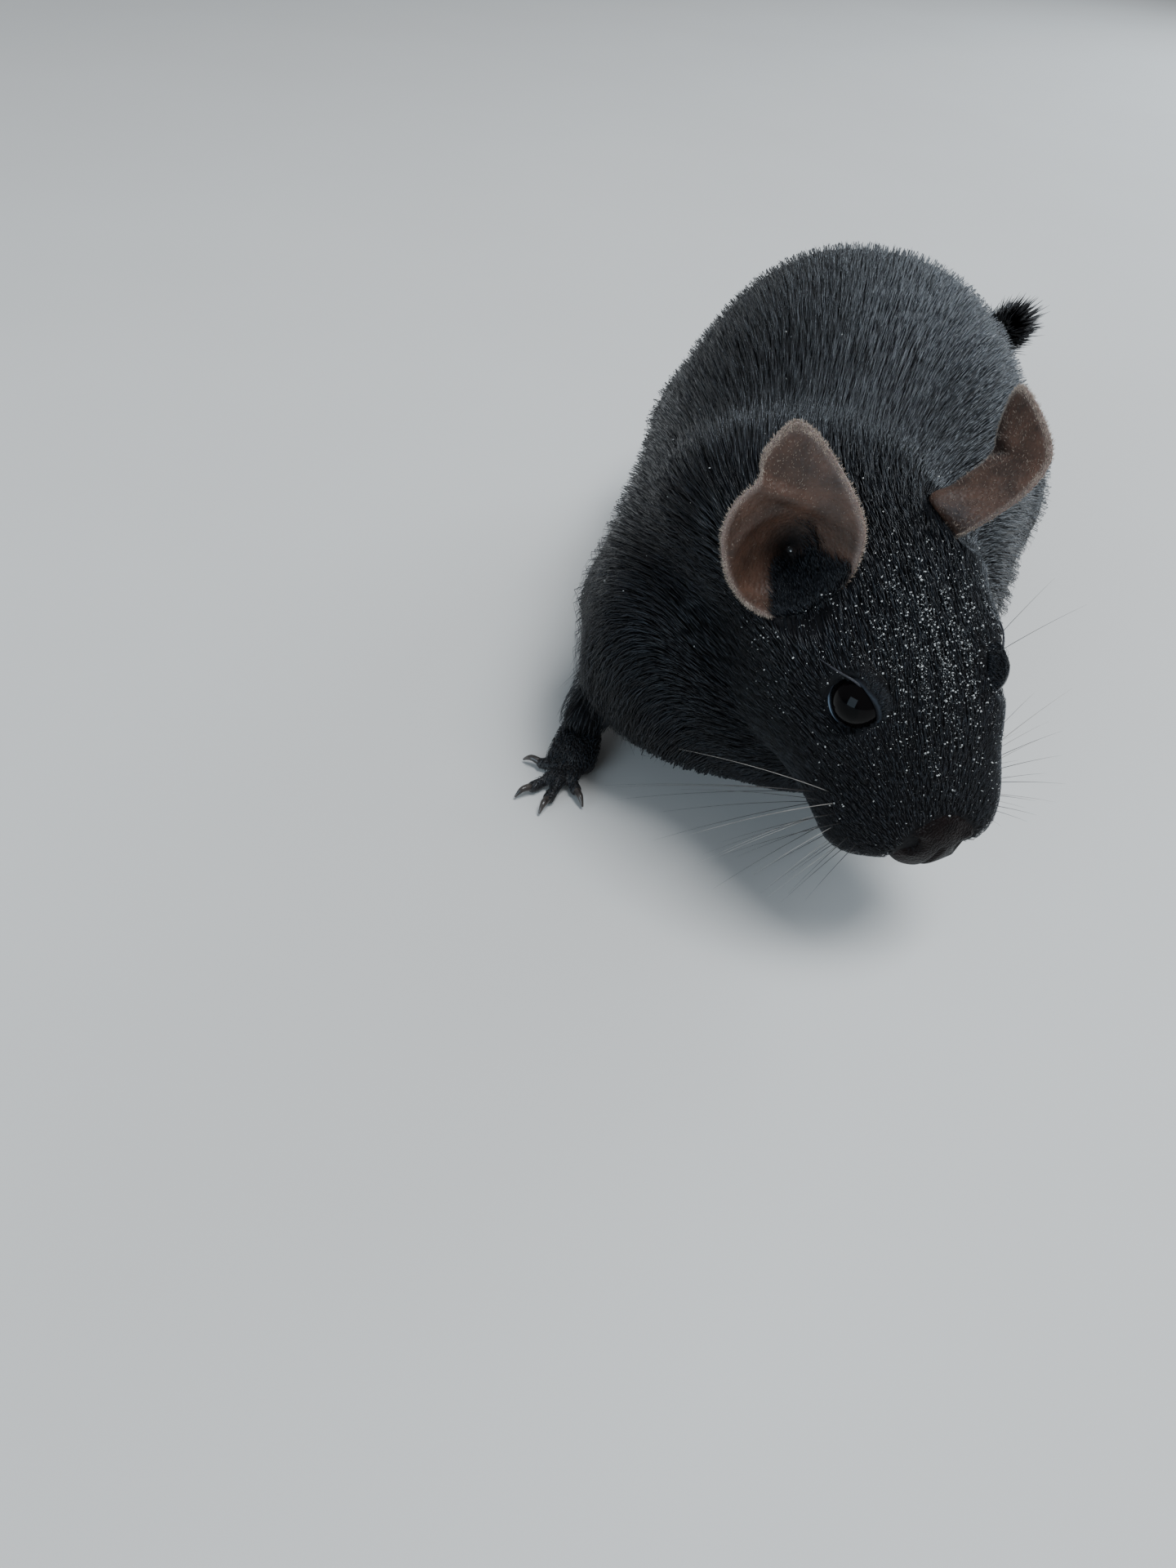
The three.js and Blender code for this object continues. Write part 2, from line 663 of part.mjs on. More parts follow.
function draws( seed ) {

	let state = seed;
	return () => ( state = ( state * 16807 ) % 2147483647 ) / 2147483647;

}

function brushLocks() {

	const draw = draws( BRUSH.seed );
	const blades = [];

	for ( let i = 0; i < BRUSH.locks; i ++ ) {

		const t = BRUSH.from + 0.035 + ( 0.985 - BRUSH.from - 0.035 ) * ( i + 0.5 * draw() ) / BRUSH.locks;
		const along = tailCurve.getTangent( t );
		const first = along.clone().cross( V( 0, 0, 1 ) ).normalize();
		const second = first.clone().cross( along );
		const angle = i * 2.4 + 0.4 * draw();
		const out = first.multiplyScalar( Math.cos( angle ) ).addScaledVector( second, Math.sin( angle ) );
		const radius = tailRadius( t ) - 0.9;
		const length = BRUSH.length * ( 0.82 + 0.36 * draw() );
		const root = tailCurve.getPoint( t ).addScaledVector( out, radius );
		blades.push( lock( root, along, out, length, BRUSH.width, BRUSH.thick, 0.22 + 0.12 * draw() ) );

	}

	return blades;

}

// Trim of the head: nose pad, nostrils, cleft of the upper lip, mouth

const nosePad = ellipsoid( V( ...NOSE_PAD.at ), NOSE_PAD.radii, NOSE_PAD.angles, 0, 16 ).applyMatrix4( headFrame );
const nostrils = NOSTRILS.map( ( { at, angles } ) => ellipsoid( V( ...at ), NOSTRIL_RADII, angles, 0, 8 ).applyMatrix4( headFrame ) );
const cleft = new THREE.BoxGeometry( 0.5, 3.0, 5.0 ).translate( 0, 0.2, - 5.2 ).applyMatrix4( headFrame );
const lowerLip = tube( [
	[ - 5.6, 11.5, - 9.0, 1.2 ], [ - 4.4, 6.5, - 8.6, 1.5 ], [ 0, 3.6, - 8.3, 1.7 ], [ 4.4, 6.5, - 8.6, 1.5 ], [ 5.6, 11.5, - 9.0, 1.2 ]
] ).applyMatrix4( headFrame );

// Room of the lower jaw, in side view: the mouth line on top and the corner of
// the mouth at the back.

function jawRoom( grow = 0 ) {

	const shape = new THREE.Shape();
	shape.moveTo( - 8, - 6.9 + grow );
	shape.lineTo( 6, - 7.2 + grow );
	shape.lineTo( 12.5 + grow, - 8.0 + grow );
	shape.lineTo( 14.5 + grow, - 30 );
	shape.lineTo( - 8, - 30 );
	const room = new THREE.ExtrudeGeometry( shape, { depth: 60, bevelEnabled: false } ).translate( 0, 0, - 30 );
	return room.applyMatrix4( new THREE.Matrix4().makeBasis( V( 0, 1, 0 ), V( 0, 0, 1 ), V( 1, 0, 0 ) ) ).applyMatrix4( headFrame );

}

// Cutting and joining, node by node

const pieces = {};
const add = ( name, body, material ) => {

	pieces[ name ] = { body, material };

};

const COAT = { color: 0x17161a, roughness: 0.62, metalness: 0 };
const EAR_SKIN = { color: 0x4a3430, roughness: 0.6, metalness: 0 };
const SKIN = { color: 0x211d1e, roughness: 0.65, metalness: 0 };
const EYEBALL = { color: 0x07070a, roughness: 0.08, metalness: 0 };
const HORN = { color: 0x3a3230, roughness: 0.45, metalness: 0 };

head = head.add( solid( nosePad ) );

for ( const { s } of SIDES ) head = head.add( solid( lidRim( s ) ) );

const jaw = head.add( solid( lowerLip ) ).intersect( solid( jawRoom() ) );
head = head.subtract( solid( jawRoom( GAP ) ) ).subtract( solid( cleft ) );
nostrils.forEach( ( hole ) => head = head.subtract( solid( hole ) ) );

for ( const { name, s } of SIDES ) {

	head = head.subtract( solid( lidOpening( s ) ) ).subtract( solid( eyeBall( s, GAP ) ) );
	add( `eye_${ name }`, solid( eyeBall( s ) ), EYEBALL );

	const ear = solid( earRoot( s ) ).subtract( solid( earBowl( s ) ) ).add( solid( earSheet( s ) ) )
		.subtract( solid( earCanal( s ) ) ).subtract( headRoom ).subtract( trunkRoom );
	add( `ear_${ name }`, ear, EAR_SKIN );

	const foreRows = foreFoot( s ), hindRows = hindFoot( s );
	const arm = solid( upperArm( s ) ), armRoom = solid( upperArm( s, GAP ) );
	const fore = solid( forearm( s ) ).subtract( armRoom ), foreRoom = solid( forearm( s, GAP ) );
	const leg = solid( thigh( s ) ), legRoom = solid( thigh( s, GAP ) );
	const shin = solid( shank( s ) ).subtract( legRoom ), shinRoom = solid( shank( s, GAP ) );

	torso = torso.subtract( armRoom ).subtract( foreRoom ).subtract( legRoom ).subtract( shinRoom );
	neck = neck.subtract( armRoom );

	const palm = union( ...footForm( foreRows ) ).subtract( foreRoom ).subtract( armRoom ).subtract( underFloor );
	const sole = union( ...footForm( hindRows ) ).subtract( shinRoom ).subtract( legRoom ).subtract( underFloor );
	torso = torso.subtract( floorGrown( foreRows ) ).subtract( floorGrown( hindRows ) );

	add( `upper_arm_${ name }`, arm, COAT );
	add( `forearm_${ name }`, fore, COAT );
	add( `forefoot_${ name }`, palm, SKIN );
	add( `thigh_${ name }`, leg, COAT );
	add( `shank_${ name }`, shin, COAT );
	add( `hindfoot_${ name }`, sole, SKIN );

	for ( const [ kind, foot, room ] of [ [ 'fore', foreRows, floorGrown( foreRows ) ], [ 'hind', hindRows, floorGrown( hindRows ) ] ] ) {

		foot.toes.forEach( ( toe, i ) => {

			const claw = tube( toeRows( foot, toe ).claw, { around: 6, step: 1.6, start: 0.2, end: 0.2, dome: 1 } );
			add( `claw_${ kind }_${ name }_${ i + 1 }`, solid( claw ).subtract( room ), HORN );

		} );

	}

}

// The tail is parted by two thin slabs across its line.

let tail = solid( tailForm() ).add( union( ...brushLocks() ) ).subtract( trunkRoom );

for ( const t of [ 0.34, BRUSH.from ] ) {

	const turn = new THREE.Quaternion().setFromUnitVectors( V( 0, 0, 1 ), tailCurve.getTangent( t ) );
	const at = tailCurve.getPoint( t );
	const slab = new THREE.BoxGeometry( 16, 16, GAP ).applyQuaternion( turn ).translate( at.x, at.y, at.z );
	tail = tail.subtract( solid( slab ) );

}

const tailNames = [ [ 'tail_base', 0.2 ], [ 'tail_middle', 0.5 ], [ 'tail_brush', 0.8 ] ];

for ( const [ name, t ] of tailNames ) {

	const probe = solid( new THREE.SphereGeometry( 1.2, 8, 6 ).translate( ...tailCurve.getPoint( t ) ) );
	const piece = tail.decompose().filter( ( part ) => part.intersect( probe ).volume() > 0 );
	add( name, piece.reduce( ( a, b ) => a.add( b ) ), COAT );

}

add( 'torso', torso, COAT );
add( 'neck', neck, COAT );
add( 'head', head, COAT );
add( 'lower_jaw', jaw, COAT );

// Scene graph, with the origin at the middle of the footprint box

const degu = new THREE.Group();

for ( const [ name, { body, material } ] of Object.entries( pieces ) ) {

	const mesh = new THREE.Mesh( geometryOf( body ), new THREE.MeshStandardMaterial( material ) );
	mesh.name = name;
	degu.add( mesh );

}

const box = new THREE.Box3().setFromObject( degu );
degu.position.set( - ( box.min.x + box.max.x ) / 2, - ( box.min.y + box.max.y ) / 2, - box.min.z );

const group = new THREE.Group();
group.add( degu );

export default group;
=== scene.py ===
# %% [markdown]
# # A degu, life size
# A degu is a rodent a little larger than a hamster, with a sleek coat, large thin ears, a blunt
# muzzle and a tail that ends in a brush of bristles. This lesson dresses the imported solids: skin
# goes on first, then eyes, ears, nose and feet, and last the coat, hair by hair.

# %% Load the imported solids
import math

import bpy
import numpy as np
from mathutils import Matrix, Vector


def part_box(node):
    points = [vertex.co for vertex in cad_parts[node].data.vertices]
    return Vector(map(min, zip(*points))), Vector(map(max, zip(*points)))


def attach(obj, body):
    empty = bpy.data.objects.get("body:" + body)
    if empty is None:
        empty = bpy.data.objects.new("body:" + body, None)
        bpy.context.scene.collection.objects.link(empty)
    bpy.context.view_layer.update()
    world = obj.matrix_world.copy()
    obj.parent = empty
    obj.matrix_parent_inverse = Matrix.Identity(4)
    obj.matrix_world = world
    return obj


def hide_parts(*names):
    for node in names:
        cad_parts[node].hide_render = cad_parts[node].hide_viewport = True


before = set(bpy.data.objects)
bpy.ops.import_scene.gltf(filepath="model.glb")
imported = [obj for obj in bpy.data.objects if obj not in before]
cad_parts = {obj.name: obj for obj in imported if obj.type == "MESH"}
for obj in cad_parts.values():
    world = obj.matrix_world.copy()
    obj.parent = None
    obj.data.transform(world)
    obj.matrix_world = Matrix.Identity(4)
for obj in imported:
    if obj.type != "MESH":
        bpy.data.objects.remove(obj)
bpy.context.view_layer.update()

# %% [markdown]
# ## One set of named sizes
# The forms of the animal are written in millimetres in its own frame: +X is its left side, the
# nose points to -Y and the floor is z = 0. Head forms have their own frame, which starts at the
# tip of the nose: x to the left, y back along the head and z up through the crown.

# %% Sizes and the frame of the head
NOSE = np.array([25.6, -77.5, 23.0])
HEAD_YAW, HEAD_PITCH, HEAD_ROLL = 40.0, 36.0, -5.0
EYE_SEAT = {-1: np.array([-9.0, 21.1, 9.4]), 1: np.array([8.4, 21.1, 9.4])}
EYE_RADIUS = 3.7
EYE_LOOK = np.array([0.86, -0.34, 0.38])
BACK_HEIGHT = 63.0
HALF_WIDTH = 36.0
SIDES = (("right", -1), ("left", 1))      # a side's name and the sign of its x


def turn(axis, degrees):
    """Rotation matrix about one axis: the other two axes mix by the angle's cosine and sine."""
    c, s = math.cos(math.radians(degrees)), math.sin(math.radians(degrees))
    i, j = {"x": (1, 2), "y": (2, 0), "z": (0, 1)}[axis]
    matrix = np.eye(3)
    matrix[i, i], matrix[i, j], matrix[j, i], matrix[j, j] = c, -s, s, c
    return matrix


def unit(v):
    """Every vector divided by its own length."""
    v = np.asarray(v, dtype=float)
    return v / np.maximum(np.linalg.norm(v, axis=-1, keepdims=True), 1e-9)


def bell(x):
    """A smooth hump: e to the power of minus x squared."""
    return np.exp(-np.asarray(x) ** 2)


def ramp(x, low, high):
    """0 below low, 1 above high, and an S curve between them."""
    t = np.clip((np.asarray(x, dtype=float) - low) / (high - low), 0, 1)
    return t * t * (3 - 2 * t)


HEAD = turn("z", HEAD_YAW) @ turn("x", HEAD_PITCH) @ turn("y", HEAD_ROLL)


def head_point(p):
    """Head coordinates turned by the head's matrix and moved to the nose."""
    return NOSE + np.asarray(p, dtype=float) @ HEAD.T


def head_way(v):
    """A direction in head coordinates as a unit vector of the animal's frame."""
    return unit(np.asarray(v, dtype=float) @ HEAD.T)


def in_head(p):
    """The way back: a point of the animal's frame in head coordinates."""
    return (np.asarray(p) - NOSE) @ HEAD


eye_low, eye_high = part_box("eye_right")
SHIFT = (np.array(eye_low) + np.array(eye_high)) * 500 - head_point(EYE_SEAT[-1])
print("animal frame to part frame, mm:", SHIFT.round(2))

# %% [markdown]
# ## Forms as arrays
# A leg, a trunk or a muzzle is a loft: an oval carried along a line, whose width and height change
# on the way. Modelling it by hand in edit mode would work too, but a table of a few rows keeps the
# sizes in sight, and numpy works out every ring at once.

# %% Lofts, rings and joins
def ease(rows, count):
    """Catmull-Rom curve through the rows: each value is a cubic of the four rows around it."""
    rows = np.asarray(rows, dtype=float)
    t = np.linspace(0, len(rows) - 1, count)
    k = np.minimum(t.astype(int), len(rows) - 2)
    f = (t - k)[:, None]
    a, b = rows[np.maximum(k - 1, 0)], rows[k]
    c, d = rows[k + 1], rows[np.minimum(k + 2, len(rows) - 1)]
    return b + 0.5 * f * (c - a + f * (2 * a - 5 * b + 4 * c - d + f * (3 * (b - c) + d - a)))


def closed_rings(rings, first, last):
    """A closed surface of triangles through rings of points, with a point at either end."""
    count, around = rings.shape[:2]
    points = np.vstack([[first], rings.reshape(-1, 3), [last]])
    j = np.arange(around)
    k = (j + 1) % around
    a = 1 + np.arange(count - 1)[:, None] * around
    sides = np.stack([a + j, a + around + j, a + around + k, a + k], -1).reshape(-1, 4)
    end = 1 + (count - 1) * around
    start_fan = np.stack([0 * j, 1 + j, 1 + k], -1)
    end_fan = np.stack([0 * j + len(points) - 1, end + k, end + j], -1)
    triangles = np.vstack([start_fan, sides[:, [0, 1, 2]], sides[:, [0, 2, 3]], end_fan])
    corners = points[triangles]
    volume = np.einsum("ij,ij->", corners[:, 0], np.cross(corners[:, 1], corners[:, 2]))
    return points, triangles if volume > 0 else triangles[:, ::-1]


def loft(rows, around=56, step=1.6, start=4.0, end=4.0, square=2.2, up=(0, 0, 1), bulges=()):
    """Each row is x, y, z, half width, rise and drop. A ring is a superellipse: half width times
    the cosine and rise or drop times the sine, both raised to 2 / square. The ends are rounded."""
    fine = ease(rows, 200)
    reach = np.r_[0, np.cumsum(np.linalg.norm(np.diff(fine[:, :3], axis=0), axis=1))]
    total = reach[-1]
    cap = 1 - np.cos(np.linspace(0, np.pi / 2, 8))
    middle = np.linspace(start, total - end, max(3, int((total - start - end) / step)))[1:-1]
    s = np.r_[start * cap, middle, total - end * cap[::-1]]
    at = lambda v: np.stack([np.interp(v, reach, fine[:, j]) for j in range(6)], -1)
    row = at(s)
    along = unit(at(np.minimum(s + 0.5, total))[:, :3] - at(np.maximum(s - 0.5, 0))[:, :3])
    side = unit(np.cross(along, up))
    top = np.cross(side, along)
    swell = np.sqrt(1 - (1 - np.clip(np.minimum(s / start, (total - s) / end), 0, 1)) ** 2)
    angle = np.arange(around) / around * 2 * np.pi
    c = np.sign(np.cos(angle)) * np.abs(np.cos(angle)) ** (2 / square)
    n = np.sign(np.sin(angle)) * np.abs(np.sin(angle)) ** (2 / square)
    height = np.where(n > 0, row[:, 4:5], row[:, 5:6]) * n
    rings = row[:, None, :3] + (swell * row[:, 3])[:, None, None] * c[:, None] * side[:, None]
    rings = rings + swell[:, None, None] * height[..., None] * top[:, None]
    for centre, size, push in bulges:
        rings = rings + bell(np.linalg.norm(rings - centre, axis=-1) / size)[..., None] * np.array(push)
    return closed_rings(rings[1:-1], row[0, :3], row[-1, :3])


def tube(rows, **options):
    """A loft of round rings, whose rows are x, y, z and one radius."""
    rows = np.asarray(rows, dtype=float)
    ends = min(rows[0, 3], rows[-1, 3])
    settings = {"around": 28, "start": ends, "end": ends, "square": 2.0, **options}
    return loft(rows[:, [0, 1, 2, 3, 3, 3]], **settings)


def ellipsoid(centre, radii, angles=(0, 0, 0), around=48):
    """A ball stretched by three radii and turned by three angles in degrees."""
    polar = np.linspace(0, np.pi, around // 2 + 1)[1:-1, None]
    angle = np.arange(around) / around * 2 * np.pi
    x, y, z = np.sin(polar) * np.cos(angle), np.sin(polar) * np.sin(angle), np.cos(polar)
    ball = np.stack(np.broadcast_arrays(x, y, z), -1)
    spin = turn("z", angles[2]) @ turn("y", angles[1]) @ turn("x", angles[0])
    points, triangles = closed_rings(ball, np.array([0, 0, 1.0]), np.array([0, 0, -1.0]))
    return np.asarray(centre) + (points * np.asarray(radii)) @ spin.T, triangles


def join(*forms):
    """Several forms as one list of points and triangles."""
    starts = np.cumsum([0] + [len(p) for p, _ in forms])
    return np.vstack([p for p, _ in forms]), np.vstack([t + s for (_, t), s in zip(forms, starts)])


def moved(form, change):
    """The same triangles on points that a function has moved."""
    return change(form[0]), form[1]


# %% Meshes from arrays
def place(points):
    """Millimetres of the animal's frame as metres of the part's frame."""
    return (np.asarray(points) + SHIFT) / 1000


def mesh_of(name, points, faces):
    """A Blender mesh whose corners come straight from arrays; faces have 3 or 4 columns."""
    mesh = bpy.data.meshes.new(name)
    mesh.vertices.add(len(points))
    mesh.vertices.foreach_set("co", place(points).astype(np.float32).ravel())
    mesh.loops.add(faces.size)
    mesh.loops.foreach_set("vertex_index", faces.astype(np.int32).ravel())
    mesh.polygons.add(len(faces))
    mesh.polygons.foreach_set("loop_start", np.arange(0, faces.size, faces.shape[1], dtype=np.int32))
    mesh.polygons.foreach_set("use_smooth", np.ones(len(faces), dtype=bool))
    mesh.update(calc_edges=True)
    return mesh


def attribute(mesh, name, values):
    """One number for each corner point, which a material can read by its name."""
    layer = mesh.attributes.new(name, "FLOAT", "POINT")
    layer.data.foreach_set("value", np.asarray(values, dtype=np.float32).ravel())


def show(name, mesh, material, replaces=()):
    """Puts a mesh in the scene as a piece of the animal, with its material."""
    piece = bpy.data.objects.new(name, mesh)
    bpy.context.scene.collection.objects.link(piece)
    mesh.materials.clear()
    mesh.materials.append(material)
    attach(piece, "root")
    if replaces:
        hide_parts(*replaces)
    print(f"{name}: {len(mesh.loops) - 2 * len(mesh.polygons)} triangles")


# %% [markdown]
# ## Materials
# Black fur isn't one black: each hair is a little warmer, cooler or greyer than the next. One
# node group gives a cloudy mottle and another a fine grain for bump, and each material sets its
# own scale and strength, which is easier to keep in tune than separate noises.

# %% Shared node groups
def group(name, inputs, outputs):
    """An empty shader group with named float inputs and named outputs."""
    tree = bpy.data.node_groups.new(name, "ShaderNodeTree")
    for label, value in inputs.items():
        tree.interface.new_socket(label, in_out="INPUT", socket_type="NodeSocketFloat").default_value = value
    for label, kind in outputs.items():
        tree.interface.new_socket(label, in_out="OUTPUT", socket_type=kind)
    return tree, tree.nodes.new("NodeGroupInput"), tree.nodes.new("NodeGroupOutput")


def mottle_group():
    """Cloudy variation: noise on object coordinates, stretched to run from 0 to 1."""
    tree, given, out = group("mottle", {"Scale": 200.0, "Contrast": 2.0}, {"Value": "NodeSocketFloat"})
    coordinates = tree.nodes.new("ShaderNodeTexCoord")
    noise = tree.nodes.new("ShaderNodeTexNoise")
    noise.inputs["Detail"].default_value = 4
    centred = tree.nodes.new("ShaderNodeMath")
    centred.operation = "SUBTRACT"
    centred.inputs[1].default_value = 0.5
    spread = tree.nodes.new("ShaderNodeMath")
    spread.operation = "MULTIPLY_ADD"
    spread.use_clamp = True
    spread.inputs[2].default_value = 0.5
    tree.links.new(coordinates.outputs["Object"], noise.inputs["Vector"])
    tree.links.new(given.outputs["Scale"], noise.inputs["Scale"])
    tree.links.new(noise.outputs["Fac"], centred.inputs[0])
    tree.links.new(centred.outputs[0], spread.inputs[0])
    tree.links.new(given.outputs["Contrast"], spread.inputs[1])
    tree.links.new(spread.outputs[0], out.inputs["Value"])
    return tree


def grain_group():
    """Fine relief: small cells and noise added, turned into a normal by a Bump node."""
    tree, given, out = group("grain", {"Scale": 2500.0, "Strength": 0.3}, {"Normal": "NodeSocketVector"})
    coordinates = tree.nodes.new("ShaderNodeTexCoord")
    cells = tree.nodes.new("ShaderNodeTexVoronoi")
    noise = tree.nodes.new("ShaderNodeTexNoise")
    both = tree.nodes.new("ShaderNodeMath")
    bump = tree.nodes.new("ShaderNodeBump")
    bump.inputs["Distance"].default_value = 0.0002
    tree.links.new(coordinates.outputs["Object"], cells.inputs["Vector"])
    tree.links.new(coordinates.outputs["Object"], noise.inputs["Vector"])
    tree.links.new(given.outputs["Scale"], cells.inputs["Scale"])
    tree.links.new(given.outputs["Scale"], noise.inputs["Scale"])
    tree.links.new(cells.outputs["Distance"], both.inputs[0])
    tree.links.new(noise.outputs["Fac"], both.inputs[1])
    tree.links.new(both.outputs[0], bump.inputs["Height"])
    tree.links.new(given.outputs["Strength"], bump.inputs["Strength"])
    tree.links.new(bump.outputs["Normal"], out.inputs["Normal"])
    return tree


MOTTLE, GRAIN = mottle_group(), grain_group()
print("node groups:", [tree.name for tree in bpy.data.node_groups])


def colour_mix(tree, first, second):
    """A Mix node for colours. Its sockets of several kinds share one name, so the colour ones are
    picked by type; first and second are the two colours."""
    node = tree.nodes.new("ShaderNodeMix")
    node.data_type = "RGBA"
    ends = [socket for socket in node.inputs if socket.type == "RGBA"]
    for socket, colour in zip(ends, (first, second)):
        if colour is not None:
            socket.default_value = (*colour, 1)
    return node, node.inputs[0], ends[0], next(s for s in node.outputs if s.type == "RGBA")


def finish_of(name, dark, light, mottle, rough, grain=None, tint=(), sockets=()):
    """A Principled material between two colours. Mottle is (scale, contrast) and grain (scale,
    strength), tint is a list of (attribute, colour) that are mixed over the base, and sockets sets
    the shader's own values."""
    material = bpy.data.materials.new(name)
    material.use_nodes = True
    nodes, links = material.node_tree.nodes, material.node_tree.links
    shader = nodes["Principled BSDF"]
    shader.inputs["Roughness"].default_value = rough
    for label, value in dict(sockets).items():
        shader.inputs[label].default_value = value
    cloud = nodes.new("ShaderNodeGroup")
    cloud.node_tree = MOTTLE
    cloud.inputs["Scale"].default_value, cloud.inputs["Contrast"].default_value = mottle
    _, factor, _, colour = colour_mix(material.node_tree, dark, light)
    links.new(cloud.outputs["Value"], factor)
    for label, shade in tint:
        reader = nodes.new("ShaderNodeAttribute")
        reader.attribute_name = label
        _, factor, base, mixed = colour_mix(material.node_tree, None, shade)
        links.new(reader.outputs["Fac"], factor)
        links.new(colour, base)
        colour = mixed
    links.new(colour, shader.inputs["Base Color"])
    if grain:
        relief = nodes.new("ShaderNodeGroup")
        relief.node_tree = GRAIN
        relief.inputs["Scale"].default_value, relief.inputs["Strength"].default_value = grain
        links.new(relief.outputs["Normal"], shader.inputs["Normal"])
    return material


# %% Finishes of skin and coat
SKIN = finish_of("skin_under_coat", (0.002, 0.002, 0.0025), (0.006, 0.0055, 0.0065), (90, 2.0), 0.7,
                 grain=(1500, 0.5), sockets={"Specular IOR Level": 0.15})
# The pale tint of the coat is partly the hairs' own tone and partly painted sheen: bluish-pale streaks where
# the light falls on the coat.
COAT = finish_of("coat_hair", (0.0022, 0.0021, 0.0024), (0.0062, 0.006, 0.0075), (60, 2.5), 0.36,
                 tint=[("pale", (0.070, 0.088, 0.110))], sockets={"Specular IOR Level": 0.34})
BRISTLE = finish_of("tail_bristle", (0.004, 0.004, 0.005), (0.012, 0.011, 0.012), (150, 2.0), 0.4)
WHISKER = finish_of("whisker_dark", (0.006, 0.005, 0.005), (0.03, 0.026, 0.024), (300, 2.0), 0.35)
WHISKER_PALE = finish_of("whisker_pale", (0.16, 0.145, 0.13), (0.36, 0.33, 0.30), (300, 2.0), 0.4)
DUST = finish_of("fine_dust", (0.30, 0.30, 0.29), (0.68, 0.67, 0.64), (900, 2.0), 0.8)

# %% Finishes of ears, eyes, nose and feet
# The canal tint is painted shade in the canal; on the lower lobe it is painted shade and the dark of the
# black fur over it.
EAR = finish_of("ear_skin", (0.027, 0.0125, 0.007), (0.090, 0.043, 0.026), (260, 2.6), 0.55,
                grain=(1800, 0.35),
                tint=[("rim", (0.19, 0.135, 0.115)), ("canal", (0.0025, 0.0018, 0.0018))],
                sockets={"Subsurface Weight": 0.25, "Subsurface Radius": (0.6, 0.25, 0.15),
                         "Subsurface Scale": 0.001})
FUZZ = finish_of("ear_fuzz", (0.18, 0.132, 0.100), (0.49, 0.395, 0.315), (900, 2.0), 0.6)
EYE = finish_of("eye_wet", (0.0012, 0.001, 0.0012), (0.003, 0.0026, 0.0028), (500, 2.0), 0.05,
                tint=[("iris", (0.0024, 0.0018, 0.0019)), ("pupil", (0.0004, 0.0004, 0.0006))],
                sockets={"IOR": 1.19})
# The pale bluish tint of the lids is a painted highlight along their inner edge.
LID = finish_of("lid_skin", (0.0018, 0.0016, 0.0022), (0.005, 0.0046, 0.006), (600, 2.0), 0.55,
                grain=(2600, 0.35), tint=[("lid_glint", (0.17, 0.21, 0.26))], sockets={"IOR": 1.2})
FOLD = finish_of("lid_fold", (0.007, 0.0065, 0.0095), (0.019, 0.0175, 0.024), (900, 2.0), 0.6,
                 grain=(2600, 0.35))
# The pit tint is painted shade, darkest in the nostrils and fainter along the groove.
NOSE_SKIN = finish_of("nose_leather", (0.0018, 0.0009, 0.0009), (0.0062, 0.0027, 0.0025),
                      (500, 2.2), 0.42, grain=(3000, 0.7), tint=[("pit", (0.0003, 0.0002, 0.0002))],
                      sockets={"IOR": 1.2})
FOOT = finish_of("foot_skin", (0.005, 0.0045, 0.005), (0.020, 0.018, 0.019), (420, 2.2), 0.55,
                 grain=(2200, 0.7))
CLAW = finish_of("claw_horn", (0.020, 0.016, 0.015), (0.085, 0.070, 0.060), (700, 2.2), 0.3,
                 grain=(2500, 0.15))
print("materials:", len(bpy.data.materials))

# %% [markdown]
# ## Skin under the coat
# Trunk, neck, head and legs are one flesh in life, so their lofts are melted into one skin by a
# voxel remesh, which is quicker than joining their edges by hand and leaves no seam. The skin is
# then sunk by the depth of the coat: deep on the back, hardly at all on muzzle and feet.

# %% Forms of head, trunk and legs
HEAD_ROWS = [
    [0, 0.8, -2.8, 7.4, 3.6, 7.2], [0, 4, -1.8, 10.7, 5.6, 11.8], [0, 9, -0.4, 12.4, 7.8, 14.6],
    [0, 15, 1.0, 14.1, 10.4, 17.2], [0, 21, 1.8, 15.4, 12.0, 18.6], [0, 29, 1.6, 16.8, 13.0, 19.4],
    [0, 38, 0.6, 17.4, 13.2, 19.2], [0, 46, -1.6, 18.0, 13.0, 18.6], [0, 56, -5.0, 18.4, 12.6, 17.0],
]
HEAD_BULGES = [bulge for s in (-1, 1) for bulge in (
    ((6.0 * s, 1.4, -2.8), 4.5, (0, -0.2, -0.5) if s < 0 else (1.3, -1.4, 0)),
    ((9.0 * s, 7.5, -5.0), 5.5, (1.2 * s, -0.8, -0.3)),
    ((11.2 * s, 22, 12.0), 4.6, (0.9 * s, 0, 1.3)),
    ((15.0 * s, 28, -9.0), 9.5, (1.8 * s, 0, -2.0)),
    ((11.0 * s, 12.5, 5.0), 4.0, (-0.9 * s, 0, -0.5)),
    ((13.2 * s, 20.5, 8.4), 4.4, (-1.8 * s, 0.2, -0.3)),
)]
W, TOP = HALF_WIDTH, BACK_HEIGHT
TRUNK_ROWS = [
    [-6, -65, 18, W * 0.58, 15, 11], [-5, -49, 22, W * 0.78, 26, 14.5], [-3, -34, 25, W * 0.87, TOP - 30, 17],
    [-1, -18, 28, W * 0.92, TOP - 30, 20], [-0.5, 0, 30, W * 0.95, TOP - 30, 23],
    [-0.7, 20, 31, W * 0.93, TOP - 30.8, 24], [-1.7, 40, 30, W * 0.85, TOP - 32, 24],
    [-2.2, 56, 27, W * 0.74, TOP - 37.2, 22], [-2.2, 68, 24, W * 0.60, TOP - 42.5, 18.5],
    [-2, 77, 21, W * 0.44, TOP - 48, 13.5],
]
